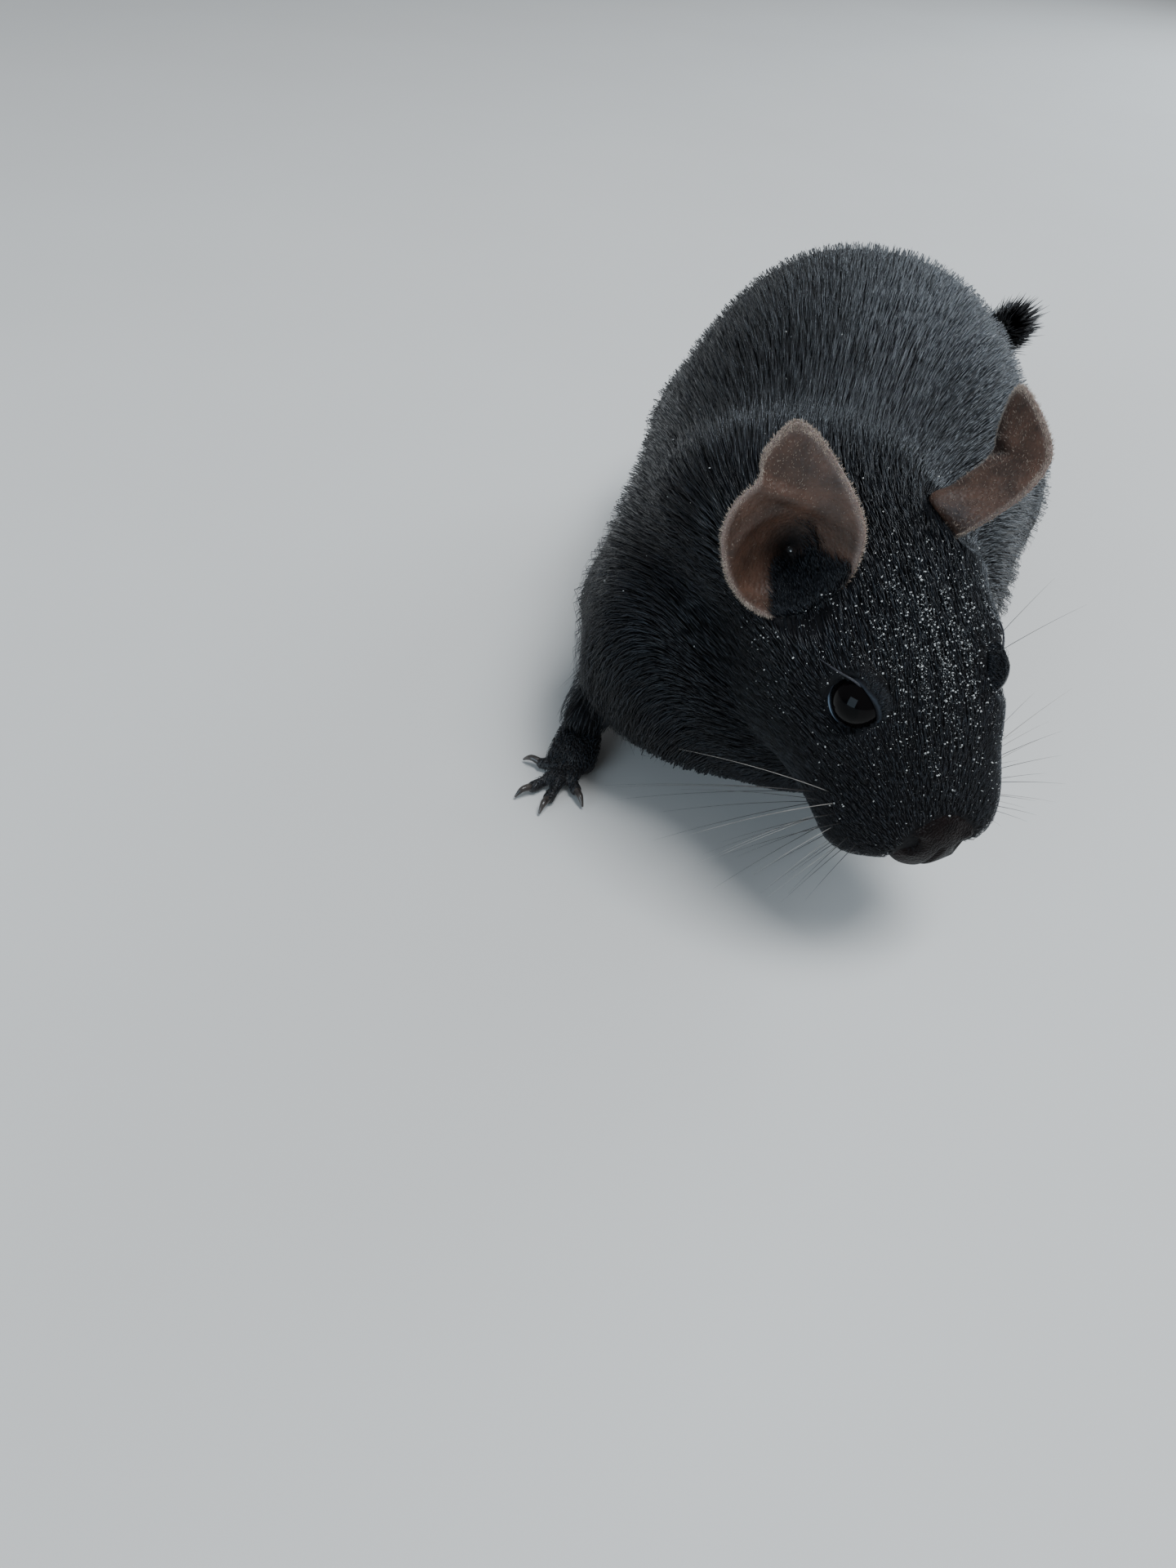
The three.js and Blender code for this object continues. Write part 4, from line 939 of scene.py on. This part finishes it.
def lids(s):
    """Round the eye: a flattened oval section lies on the ball between its inner polar angle,
    which opens towards the corners, and an outer one on the skin. Folds are a fine wave on it. The
    left upper lid hangs lower. A painted highlight, pale and bluish, is a narrow band along the
    section's inner edge, by a bell, and strongest below and in front."""
    angle = np.arange(LID_STEPS)[:, None] / LID_STEPS * 2 * np.pi
    section = np.arange(SECTION_STEPS)[None] / SECTION_STEPS * 2 * np.pi
    upper = np.maximum(np.sin(angle), 0)
    middle = 1.26 + 0.10 * np.cos(2 * angle) - 0.07 * upper - (0.28 * upper if s > 0 else 0)
    half = 0.19 + (0.22 * upper if s > 0 else 0)
    polar = middle - half * np.cos(section)
    folds = 0.05 * np.sin(9 * section) * ramp(-np.cos(section), -0.4, 0.6)
    radius = EYE_RADIUS + 0.10 + (0.28 + 0.10 * upper) * np.sin(section) + folds
    point = np.stack([radius * np.sin(polar) * np.cos(angle), radius * np.sin(polar) * np.sin(angle),
                      radius * np.cos(polar)], -1)
    # Painted highlight: a pale bluish band along the inner edge, strongest below and in front.
    band = 0.35 + 0.75 * ramp(np.cos(angle), -0.4, 0.4)
    lid_glint = bell((section - band) / 0.40) * (0.12 + 0.88 * ramp(np.cos(angle + 0.9), 0.0, 0.35))
    return head_point(EYE_SEAT[s]) + point @ eye_axes(s), lid_glint


def lid_hair(side, s, grid, seed):
    """Fine hairs on the outer half of the upper lid and the corners: each starts between four
    points of the ring's grid and lies outwards, away from the slit, a little raised."""
    rng = np.random.default_rng(seed)
    i, j = rng.integers(-10, 70, LID_HAIRS) % LID_STEPS, rng.integers(5, 14, LID_HAIRS)
    i_next, u = (i + 1) % LID_STEPS, rng.random((LID_HAIRS, 1))
    root = grid[i, j] * (1 - u) + grid[i_next, j] * u
    root = root + (grid[i, j + 1] - grid[i, j]) * rng.random((LID_HAIRS, 1))
    normal = unit(root - head_point(EYE_SEAT[s]))
    way = flat(-eye_axes(s)[2], normal) + 0.5 * flat(head_way((0, 1, 0)), normal)
    way = unit(way + 0.25 * rng.standard_normal((LID_HAIRS, 3)))
    long = rng.uniform(0.6, 1.3, LID_HAIRS)[:, None]
    path = [root - normal * 0.1, root + way * long * 0.5 + normal * 0.22, root + way * long + normal * 0.16]
    pale = 0.3 * rng.random(LID_HAIRS) ** 2
    show_tufts(f"lid_hair_{side}", path, [normal, normal], np.full(LID_HAIRS, 0.11), pale)


# %% Eyes in place
FOLD_LINE = [(-13.2, 27.2, 10.2, 0.05), (-12.1, 24.8, 11.7, 0.13), (-10.6, 22.6, 12.6, 0.16),
             (-9.2, 20.2, 12.4, 0.15), (-8.2, 18.1, 11.6, 0.06)]
for side, s in SIDES:
    points, faces, polar = eyeball(s)
    mesh = mesh_of(f"eyeball_{side}", points, faces)
    attribute(mesh, "pupil", 1 - ramp(polar, 0.36, 0.46))
    attribute(mesh, "iris", ramp(polar, 0.36, 0.46) * (1 - ramp(polar, 0.92, 1.02)))
    show(f"eyeball_{side}", mesh, EYE, [f"eye_{side}"])
    grid, lid_glint = lids(s)
    points, faces = closed_ring(grid)
    mesh = mesh_of(f"lids_{side}", points, faces)
    attribute(mesh, "lid_glint", lid_glint)
    show(f"lids_{side}", mesh, LID)
    lid_hair(side, s, grid, 60 + s)
    fold = [[*head_point((-s * x, y, z)), r] for x, y, z, r in FOLD_LINE]
    show(f"lid_fold_{side}", mesh_of(f"lid_fold_{side}", *tube(fold, around=10, step=0.25)), FOLD)

# %% [markdown]
# ## Ears, nose and mouth
# The sheet of the ear is drawn in rings from the canal to the edge on its front and back to the
# middle behind, so it closes on itself and has a true thickness. Nose pad and lower lip are balls
# and tubes with pits and grooves pressed in by bells.

# %% Sheets of the ears
EDGE_FUZZ, FACE_FUZZ = ((5200, 3200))     # hairs tried on each ear
EAR_FUR = 9000


def ear_sheet(s, rings=44, around=132):
    """Front and back stand half a thickness off the depth surface, along its slope's normal. The
    rim grows with the way out. The canal's painted shade is a bell over the bowl and a soft step on
    the lobe, where it also gives the dark of the black fur that lies over it. Gives the closed mesh,
    rim and canal shade on its points, and the grid that hairs use."""
    angle = np.arange(around) / around * 2 * np.pi
    share = np.linspace(0, 1, rings + 1)[:, None]
    a, b = (share * edge for edge in ear_edge(angle, s))
    step = 0.02
    slope_a = (ear_depth(a + step, b) - ear_depth(a - step, b)) / (2 * step)
    slope_b = (ear_depth(a, b + step) - ear_depth(a, b - step)) / (2 * step)
    normal = unit(np.stack([-slope_a, -slope_b, np.ones_like(a)], -1))
    middle = np.stack([a, b, ear_depth(a, b)], -1)
    thin = np.sqrt(np.maximum(1 - ramp(share, 0.93, 1.0) ** 2 * 0.75, 0.05))
    thick = (0.26 + 0.3 * bell(share / 0.35)) * thin
    front, back = middle + normal * thick[..., None], middle - normal * thick[..., None]
    in_place = lambda v: head_point(EAR_SEAT[s]) + v @ ear_axes(s)
    points, faces = closed_rings(in_place(np.concatenate([front[1:], back[:0:-1]])),
                                 in_place(front[0, 0]), in_place(back[0, 0]))
    both = lambda v: np.r_[v[0, 0], v[1:].ravel(), v[:0:-1].ravel(), v[0, 0]]
    share = np.broadcast_to(share, a.shape)
    # Painted shade: dark in the canal's bowl, and on the lower front of the lobe under the black fur.
    canal_shade = bell(np.hypot((a - 0.6) / 1.15, b + 0.9) / 3.3)
    lobe_shade_and_fur = 0.92 * ramp(-a, -0.8, 1.8) * (1 - ramp(b, 0.5, 2.6))
    canal = np.maximum(canal_shade, lobe_shade_and_fur)
    on_front = np.r_[1, np.ones(rings * around), np.zeros(rings * around), 0]
    outward = unit(np.stack(ear_edge(angle, s), -1) @ ear_axes(s)[:2])
    sheet = {"points": in_place(front), "back": in_place(back), "normals": unit(normal @ ear_axes(s)),
             "canal": canal, "share": share, "outward": outward}
    return points, faces, both(ramp(share, 0.90, 1.0)), both(canal) * on_front, sheet


# %% Fuzz and fur of the ears
def ear_fuzz(side, sheet, seed):
    """Short pale hairs: a thick row on the edge that points outwards, and a thin scatter that lies
    on both faces towards the tip, but not in the canal's painted shade on the front."""
    rng = np.random.default_rng(seed)
    rows, around = sheet["share"].shape
    at_edge = rng.integers(rows - 3, rows, EDGE_FUZZ)
    on_face = (rows - 1) * np.sqrt(rng.uniform(0.03, 1, FACE_FUZZ))
    i = np.r_[at_edge, on_face].astype(int)
    j = rng.integers(0, around, len(i))
    edge = np.arange(len(i)) < EDGE_FUZZ
    front = rng.random(len(i)) < 0.5
    kept = ~front | (sheet["canal"][i, j] < 0.35)
    i, j, edge, front = i[kept], j[kept], edge[kept], front[kept]
    across, inward = rng.random((2, len(i), 1))
    between = lambda v: (v[i, j] * (1 - across) + v[i, (j + 1) % around] * across
                         + (v[np.maximum(i - 1, 0), j] - v[i, j]) * inward)
    root = np.where(front[:, None], between(sheet["points"]), between(sheet["back"]))
    normal = sheet["normals"][i, j] * np.where(front, 1, -1)[:, None]
    way = unit(sheet["outward"][j] * np.where(edge, 1.0, 0.8)[:, None]
               + normal * np.where(edge, 0.25, 0.18)[:, None] + 0.4 * rng.standard_normal((len(i), 3)))
    long = np.where(edge, rng.uniform(0.25, 0.62, len(i)), rng.uniform(0.25, 0.55, len(i)))[:, None]
    path = [root - normal * 0.1, root + way * long * 0.5, root + way * long]
    width = np.where(edge, 0.065, 0.045)
    show_tufts(f"ear_fuzz_{side}", path, [normal, normal], width, rng.random(len(i)), FUZZ)


def ear_fur(side, s, sheet, seed):
    """Black fur that the head sends over the lower front of the bowl: hairs start on the sheet where
    the canal's painted shade is strong and away from the canal, and lie up and back over it."""
    rng = np.random.default_rng(seed)
    rows, around = sheet["share"].shape
    i = (rows * np.sqrt(rng.random(EAR_FUR))).astype(int).clip(0, rows - 2)
    j = rng.integers(0, around, EAR_FUR)
    dark = sheet["canal"][i, j] > rng.uniform(0.25, 0.95, EAR_FUR)
    kept = dark & (sheet["share"][i, j] > rng.uniform(0.3, 0.5, EAR_FUR))
    i, j = i[kept], j[kept]
    across, inward = rng.random((2, len(i), 1))
    points = sheet["points"]
    root = points[i, j] + (points[i, (j + 1) % around] - points[i, j]) * across
    root = root + (points[i + 1, j] - points[i, j]) * inward
    normal, axes = sheet["normals"][i, j], ear_axes(s)
    way = unit(0.9 * axes[0] + 0.45 * axes[1] + 0.25 * rng.standard_normal((len(i), 3)))
    way = flat(way, normal)
    long = rng.uniform(1.2, 2.6, len(i))[:, None]
    path = [root - normal * 0.1, root + way * long * 0.5 + normal * 0.45, root + way * long + normal * 0.6]
    show_tufts(f"ear_fur_{side}", path, [normal, normal], np.full(len(i), 0.12), 0.2 * rng.random(len(i)))


for side, s in SIDES:
    points, faces, rim, canal, sheet = ear_sheet(s)
    mesh = mesh_of(f"ear_sheet_{side}", points, faces)
    attribute(mesh, "rim", 0.75 * rim)
    attribute(mesh, "canal", canal)
    show(f"ear_sheet_{side}", mesh, EAR, [f"ear_{side}"])
    ear_fuzz(side, sheet, 5 + s)
    ear_fur(side, s, sheet, 8 + s)


# %% Nose pad, nostrils and lower lip
def pressed(points, centre, size, push):
    """Points moved by a push that fades with a bell of the distance from a centre."""
    return points + bell(np.linalg.norm(points - centre, axis=-1) / size)[:, None] * np.array(push)


def nose_pad():
    """An oval ball in its own axes, then turned and set on the muzzle: nostrils are pressed in,
    their wings pressed out above them, and a groove runs down the middle. Also gives painted shade
    for the nostrils and, fainter, the groove."""
    points, faces = ellipsoid((0, 0, 0), PAD_RADII, (0, 0, 0), 140)
    holes = {s: (NOSTRIL[s] - PAD_AT) @ PAD_TURN for s in (-1, 1)}
    # Painted shade in the nostrils, and fainter below along the groove.
    pit = sum(bell(np.linalg.norm((points - at) / (1.25, 1.9, 0.75), axis=-1)) for at in holes.values())
    for s, at in holes.items():
        points = pressed(points, at, 1.05, (-0.3 * s, 1.7, 0.1))
        points = pressed(points, at + (0.15 * s, 0.2, 1.6), 1.35, (0.25 * s, -0.6, 0.35))
        points = pressed(points, at + (-0.35 * s, -0.1, -1.4), 1.0, (0, -0.25, -0.1))
    groove = bell(points[:, 0] / 0.42) * ramp(-points[:, 2], -1.6, 0.2) * (points[:, 1] < 0)
    points[:, 1] += 0.55 * groove
    return head_point(PAD_AT + points @ PAD_TURN.T), faces, np.clip(pit * 1.2 + 0.4 * groove, 0, 1)


points, faces, pit = nose_pad()
mesh = mesh_of("nose_pad", points, faces)
attribute(mesh, "pit", pit)
show("nose_pad", mesh, NOSE_SKIN)
lip = moved(tube([[-6.0, 11.5, -9.4, 0.7], [-4.6, 6.2, -8.9, 1.0], [0, 2.9, -8.5, 1.2], [4.6, 6.2, -8.9, 1.0],
                  [6.0, 11.5, -9.4, 0.7]], step=0.4), head_point)
show("lower_lip", mesh_of("lower_lip", *lip), NOSE_SKIN)
attribute(bpy.data.meshes["lower_lip"], "pit", np.zeros(len(lip[0])))

# %% [markdown]
# ## Feet and claws
# Toes fan out from a narrow sole and press flat on the floor. They are tubes melted into the sole
# on a fine grid, with short hair on top; the claws stay pieces of their own, because horn has a
# harder edge and a shine that skin hasn't.

# %% Feet
# Each toe is its spread in degrees and its reach in millimetres.
FORE_TOES = {-1: ((98, 6.2), (38, 8.4), (8, 8.6), (-36, 6.0)),
             1: ((46, 6.8), (17, 8.4), (-4, 8.6), (-28, 7.0))}
HIND_TOES = ((34, 8.6), (14, 10.6), (0, 11.2), (-14, 10.4), (-38, 6.4))
HIND_TURN, HIND_LENGTH = 8.0, 27.0


def foot_plan(kind, s):
    """Heel and ball on the floor, rows of the sole, toes, heading in degrees, toe radius, claw."""
    if kind == "fore":
        x, y = STRIDE[s]
        return (np.array([x, y + 4.5, 0]), np.array([x - 0.4 * s, y - 6.5, 0]),
                ((0, 3.2, 6.2), (0.45, 4.0, 5.0), (1, 4.3, 3.4)), FORE_TOES[s], 0.0, 1.15, 2.4)
    ball = (25.5 + HIND_LENGTH * math.sin(math.radians(HIND_TURN))) * s
    return (np.array([25.5 * s, 53, 0]), np.array([ball, 53 - HIND_LENGTH, 0]),
            ((0, 3.4, 8.5), (0.3, 3.5, 7.0), (0.7, 4.2, 5.4), (1, 4.8, 4.2)), HIND_TOES, HIND_TURN, 1.35, 2.8)


def foot_forms(kind, s):
    """The sole as a loft from heel to ball, a tube for each toe and one for each claw."""
    heel, ball, sole, toes, heading, r, claw = foot_plan(kind, s)
    rows = [[*(heel + (ball - heel) * t + (0, 0, rise * 0.42)), half, rise * 0.58, rise * 0.42 + 0.5]
            for t, half, rise in sole]
    flesh, horn = [loft(rows, around=40, step=0.8, start=2.6, end=2.6, square=2.5)], []
    for spread, reach in toes:
        angle = math.radians(heading + spread) * s
        way = np.array([math.sin(angle), -math.cos(angle), 0])
        at = lambda d, z, k: [*(ball + way * (d - 0.5) + (0, 0, z)), r * k]
        knuckle = [at(-2.2, 1.4 * r, 1.2), at(reach * 0.22, 1.5 * r, 0.95), at(reach * 0.42, 1.6 * r, 1.05),
                   at(reach * 0.6, 1.25 * r, 0.86), at(reach * 0.8, 1.1 * r, 0.95), at(reach, 0.93 * r, 0.98)]
        flesh.append(tube(knuckle, around=24, step=0.5, start=1, end=1.1))
        horn.append(tube([at(reach - 0.8, 1.25 * r, 0.56), at(reach + claw * 0.35, 1.45 * r, 0.46),
                          at(reach + claw * 0.75, 1.0 * r, 0.28), at(reach + claw, 0.5 * r, 0.12)],
                         around=14, step=0.25, start=0.3, end=0.12))
    return flesh, horn


# %% Skin, hair and claws of the feet
claws = []
for kind in ("fore", "hind"):
    for side, s in SIDES:
        flesh, horn = foot_forms(kind, s)
        claws += horn
        points, quads, normals = melted(join(*flesh), 0.34, 4)
        points = points - normals * 0.12
        points[:, 2] = np.maximum(points[:, 2], 0)
        name = f"{kind}foot_skin_{side}"
        show(name, mesh_of(name, points, quads), FOOT, [f"{kind}foot_{side}"])
        foot = field_of(points, quads, reach=4, cell=0.7)
        heel, ball = foot_plan(kind, s)[:2]
        away = unit(points - (heel + (ball - heel) * 0.6 + (0, 0, 1)))
        foot["lie"] = flat(unit(ball - heel) * 0.8 + away * 0.5, foot["normals"])
        on_top = lambda p: 4.5 * ramp(p[:, 2], 1.4, 2.6)
        root, normals, lie, rng = sow(foot, on_top, 31 + s)
        long = rng.uniform(0.9, 1.7, len(root))
        heights = np.full(len(root), 0.22), rng.uniform(0.1, 0.4, len(root))
        path, ups = comb(foot, root - normals * 0.1, lie, long, heights)
        path = [clear_of(v) for v in path]
        pale = 0.4 * rng.random(len(root))
        show_tufts(f"{kind}foot_hair_{side}", path, ups, 0.09 + 0.05 * long, pale)
claw_points, claw_faces = join(*claws)
claw_points[:, 2] = np.maximum(claw_points[:, 2], 0)
names = [f"claw_{kind}_{side}_{n + 1}" for kind, count in (("fore", 4), ("hind", 5))
         for side, _ in SIDES for n in range(count)]
show("claws", mesh_of("claws", claw_points, claw_faces), CLAW, names)

# %% [markdown]
# ## Tail, whiskers and dust
# Short bristles cover the tail and grow longer towards the end, where they stand out as a brush.
# Whiskers are long tapered tubes that bend under their own weight. Fine pale dust lies in the fur
# of the forehead, each speck an eight-sided crumb.

# %% Bristles of the tail
def tail_bristles(seed):
    """Roots sit round the line of the tail at its radius. Length grows by an S curve over the
    last half of the way to the tip, and so does the angle at which a bristle stands off."""
    rng = np.random.default_rng(seed)
    count = 7200
    t = 0.06 + 0.93 * np.sqrt(rng.random(count) * 0.75 + 0.25 * rng.random(count) ** 0.5)
    k = t * (len(tail_line) - 1)
    line = np.stack([np.interp(k, np.arange(len(tail_line)), tail_line[:, j]) for j in range(4)], -1)
    way = tail_way[k.astype(int)]
    first = unit(np.cross(way, (0, 0, 1)))
    second = np.cross(first, way)
    angle = rng.random(count)[:, None] * 2 * np.pi
    out = first * np.cos(angle) + second * np.sin(angle)
    brush = ramp(t, 0.55, 0.86)
    long = (2.6 + 8.6 * brush) * rng.uniform(0.75, 1.2, count)
    root = line[:, :3] + out * (line[:, 3] - 1.15)[:, None]
    stand = (0.20 + 0.20 * brush * rng.uniform(0.3, 1.2, count))[:, None]
    bend = unit(way + out * stand + 0.09 * rng.standard_normal((count, 3)))
    middle = root + bend * (long * 0.5)[:, None]
    tip = middle + unit(bend + 0.3 * way) * (long * 0.5)[:, None]
    width = (0.16 + 0.022 * long) * rng.uniform(0.8, 1.2, count)
    path = [root, clear_of(middle), clear_of(tip)]
    show_tufts("tail_bristles", path, [out, out], width, 0.3 * rng.random(count), BRISTLE)


tail_bristles(17)


# %% Whiskers and brow hairs
WHISKER_RADIUS, BROW_RADIUS = 0.062, 0.05


def hairs(name, roots, ways, lengths, drop, radius, material):
    """Each hair is a tube of five sides: its line is root plus way times length, less a drop that
    grows with the square of the way along; its radius thins out to the tip."""
    t = np.linspace(0, 1, 14)[None, :, None]
    roots, ways = np.asarray(roots)[:, None], unit(ways)[:, None]
    lengths, drop = np.asarray(lengths)[:, None, None], np.asarray(drop)[:, None, None]
    line = roots + ways * lengths * t - drop * t ** 2 * np.array([0, 0, 1.0])
    line[..., 2] = np.maximum(line[..., 2], 0.4)
    side = unit(np.cross(ways, (0, 0, 1)))
    top = np.cross(side, ways)
    angle = np.arange(5) / 5 * 2 * np.pi
    ring = (side[:, :, None] * np.cos(angle)[:, None] + top[:, :, None] * np.sin(angle)[:, None])
    rings = line[:, :, None] + ring * (radius * (1 - 0.9 * t))[..., None]
    forms = [closed_rings(r, l[0], l[-1]) for r, l in zip(rings, line)]
    points, faces = join(*forms)
    show(name, mesh_of(name, points, faces), material)


def whisker_set(s, seed):
    """Four rows of whiskers on each pad: the upper rows point up and the lower ones down, the
    first of a row points ahead and the last back. The rear ones of a row are the longest, and
    those of the right side are longer than those of the left."""
    rng = np.random.default_rng(seed)
    row, place_in_row = (v.ravel().astype(float) for v in np.indices((4, 6)))
    back = 4.5 + 1.35 * place_in_row + 0.4 * row
    up = -0.8 - 2.1 * row + 0.25 * place_in_row
    side = 9.7 + 0.45 * place_in_row - 0.40 * row
    roots = head_point(np.stack([side * s, back, up], -1))
    ways = np.stack([np.full(len(row), s), -0.45 + 0.17 * place_in_row, 0.28 - 0.27 * row], -1)
    ways = head_way(ways + 0.09 * rng.standard_normal(ways.shape))
    shortest, growth = (13, 2.8) if s < 0 else (9, 1.6)
    lengths = (shortest + growth * place_in_row) * rng.uniform(0.75, 1.1, len(row))
    return roots, ways, lengths, rng


for side, s in SIDES:
    roots, ways, lengths, rng = whisker_set(s, 40 + s)
    pale = rng.random(len(roots)) < (0.25 if s < 0 else 0.45)
    for name, keep, material in (("dark", ~pale, WHISKER), ("pale", pale, WHISKER_PALE)):
        hairs(f"whiskers_{name}_{side}", roots[keep], ways[keep], lengths[keep],
              0.10 * lengths[keep], WHISKER_RADIUS, material)
    brow = np.array([(-1.0 * s, 0.5, 5.4), (-0.2 * s, 2.2, 5.2), (3.0 * s, 5.5, -4.5)])
    brow_way = np.array([(0.8 * s, 0.25, 1.0), (0.7 * s, 0.6, 0.9), (1.0 * s, 0.5, 0.3)])
    hairs(f"brow_hairs_{side}", head_point(EYE_SEAT[s] + brow), head_way(brow_way),
          [13, 11, 8], [1.3, 1.0, 0.8], BROW_RADIUS, WHISKER)


# %% Dust in the fur of the forehead
def dust_at(p):
    """Specks to a square millimetre: bells over brow and bridge, gathered by waves into streaks
    and clumps, and a few specks on the back."""
    q = in_head(p)
    brow = bell((q[:, 1] - 25) / 12) * bell((q[:, 0] - 1.0) / 9.5)
    bridge = near(q, (-0.5, 22, 12.5), 6.5)
    streak = np.sin(1.9 * q[:, 0] + 0.8 * np.sin(0.5 * q[:, 1])) + 0.6 * np.sin(4.3 * q[:, 0] - 0.3 * q[:, 1])
    clump = 0.25 + 1.2 * ramp(streak + 0.5 * np.sin(0.9 * q[:, 1] + q[:, 0]), -0.7, 1.3)
    spots = np.where(bare(p), 0, headness(p) * (q[:, 2] > 0) * clump * (0.05 + brow + 0.6 * bridge))
    return spots * 13.5 + 0.04 * (p[:, 2] > 30)


def dust(seed):
    """Each speck is a crumb of eight faces: three random spokes and three shorter ones opposite.
    Most specks are tiny, because size grows with the sixth power of a random number."""
    root, normals, _, rng = sow(body, dust_at, seed)
    centre = root + normals * (coat_depth(root) * rng.uniform(0.7, 1.15, len(root)))[:, None]
    size = 0.033 + 0.17 * rng.random(len(root)) ** 6
    axes = unit(rng.standard_normal((len(root), 3, 3)))
    spokes = np.concatenate([axes, -axes * 0.8], 1) * size[:, None, None]
    points = centre[:, None] + spokes
    eight = np.array([[0, 1, 2], [0, 5, 1], [0, 4, 5], [0, 2, 4], [3, 2, 1], [3, 1, 5], [3, 5, 4], [3, 4, 2]])
    turned = np.einsum("ni,ni->n", np.cross(axes[:, 0], axes[:, 1]), axes[:, 2]) < 0
    faces = eight[None] + 6 * np.arange(len(root))[:, None, None]
    faces[turned] = faces[turned][..., ::-1]
    show("dust", mesh_of("dust", points.reshape(-1, 3), faces.reshape(-1, 3)), DUST)


dust(23)

# %% [markdown]
# ## Light, floor and camera
# Black fur shows its form only by what it reflects, so a cool light behind the left flank draws
# the sheen, one from above shows the head and back, and a wide one behind the camera fills the
# front and puts the catch light in the eye. Lamps of other kinds would give harder highlights.

# %% Floor and lights
FLOOR_RADIUS, FLOOR_DROP, FLOOR_STEPS = 1500, 0.05, 96


def floor():
    """A pale disc, large enough to fill the view, just under the feet: points on a circle by the
    cosine and sine of their angle, and triangles from each pair of them to the middle."""
    j = np.arange(FLOOR_STEPS)
    angle = j / FLOOR_STEPS * 2 * np.pi
    circle = np.stack([np.cos(angle), np.sin(angle), 0 * angle], -1) * FLOOR_RADIUS - SHIFT * (1, 1, 0)
    points = np.vstack([circle, [[0, 0, 0]]]) - (0, 0, FLOOR_DROP) - SHIFT * (0, 0, 1)
    faces = np.stack([j, (j + 1) % FLOOR_STEPS, np.full(FLOOR_STEPS, FLOOR_STEPS)], -1)
    piece = bpy.data.objects.new("floor", mesh_of("floor", points, faces))
    bpy.context.scene.collection.objects.link(piece)
    piece.data.materials.append(
        finish_of("floor_paper", (0.62, 0.60, 0.57), (0.66, 0.645, 0.615), (12, 1.0), 0.85))


LOOK_AT = np.array([0, 0, 0.03])          # metres


def soft_light(name, at, size, power, colour):
    """A square area light at a place in metres, which looks at a point over the part's middle: its
    axes are the way back from that point, a level one to the right and their cross product."""
    lamp = bpy.data.lights.new(name, "AREA")
    lamp.size, lamp.energy, lamp.color = size, power, colour
    piece = bpy.data.objects.new(name, lamp)
    bpy.context.scene.collection.objects.link(piece)
    away = unit(np.array(at) - LOOK_AT)
    right = unit(np.cross((0, 0, 1.0), away))
    up = np.cross(away, right)
    matrix = np.eye(4)
    matrix[:3, :] = np.stack([right, up, away, at], -1)
    piece.matrix_world = Matrix(matrix.tolist())


floor()
soft_light("window", (0.48, 0.76, 0.36), 0.45, 5.4, (0.76, 0.88, 1.0))
soft_light("key", (0.26, -0.14, 0.97), 0.45, 11.0, (0.88, 0.94, 1.0))
soft_light("fill", (-0.44, -0.92, 0.31), 0.60, 5.2, (0.62, 0.82, 1.0))
world = bpy.data.worlds.new("studio")
world.use_nodes = True
sky = world.node_tree.nodes["Background"]
sky.inputs["Color"].default_value = (0.86, 0.92, 1.0, 1)
sky.inputs["Strength"].default_value = 0.29
bpy.context.scene.world = world
print("lights:", [lamp.name for lamp in bpy.data.lights])

# %% [markdown]
# ## The camera's place
# The view is known from the picture as four numbers: how high the camera stood, how far it looked
# down, how much it was rolled and how the animal was turned to it. A camera placed by hand could
# come as near, but numbers can be corrected one at a time.

# %% Camera
VIEW_HEIGHT, VIEW_DOWN, VIEW_ROLL, ANIMAL_TURN = 128.0, 42.4, 6.2, 12.0
FOCAL_LENGTH, SENSOR_WIDTH = 26.25, 36.0
FOOT_POINT = np.array([38.0, 190.0])      # the animal's origin, right of and ahead of the camera


def view_matrix():
    """Camera axes in the animal's frame: right, up and backward, rolled about the line of sight,
    with the place that puts the animal's origin at FOOT_POINT."""
    down, roll, heading = (math.radians(v) for v in (VIEW_DOWN, VIEW_ROLL, ANIMAL_TURN))
    across = np.array([math.cos(heading), math.sin(heading), 0])
    ahead = np.array([-math.sin(heading), math.cos(heading), 0])
    raised = ahead * math.sin(down) + np.array([0, 0, math.cos(down)])
    backward = -ahead * math.cos(down) + np.array([0, 0, math.sin(down)])
    matrix = np.eye(4)
    matrix[:3, 0] = across * math.cos(roll) + raised * math.sin(roll)
    matrix[:3, 1] = raised * math.cos(roll) - across * math.sin(roll)
    matrix[:3, 2] = backward
    matrix[:3, 3] = place(np.array([0, 0, VIEW_HEIGHT]) - across * FOOT_POINT[0] - ahead * FOOT_POINT[1])
    return matrix


camera = bpy.data.objects.new("camera", bpy.data.cameras.new("camera"))
camera.data.lens = FOCAL_LENGTH
camera.data.sensor_width = SENSOR_WIDTH
camera.data.sensor_fit = "AUTO"
camera.data.clip_start = 0.005
camera.matrix_world = Matrix(view_matrix().tolist())
bpy.context.scene.collection.objects.link(camera)
bpy.context.scene.camera = camera
print("camera at, in metres:", np.array(camera.matrix_world.translation).round(4))

# %% Update the scene
bpy.context.view_layer.update()
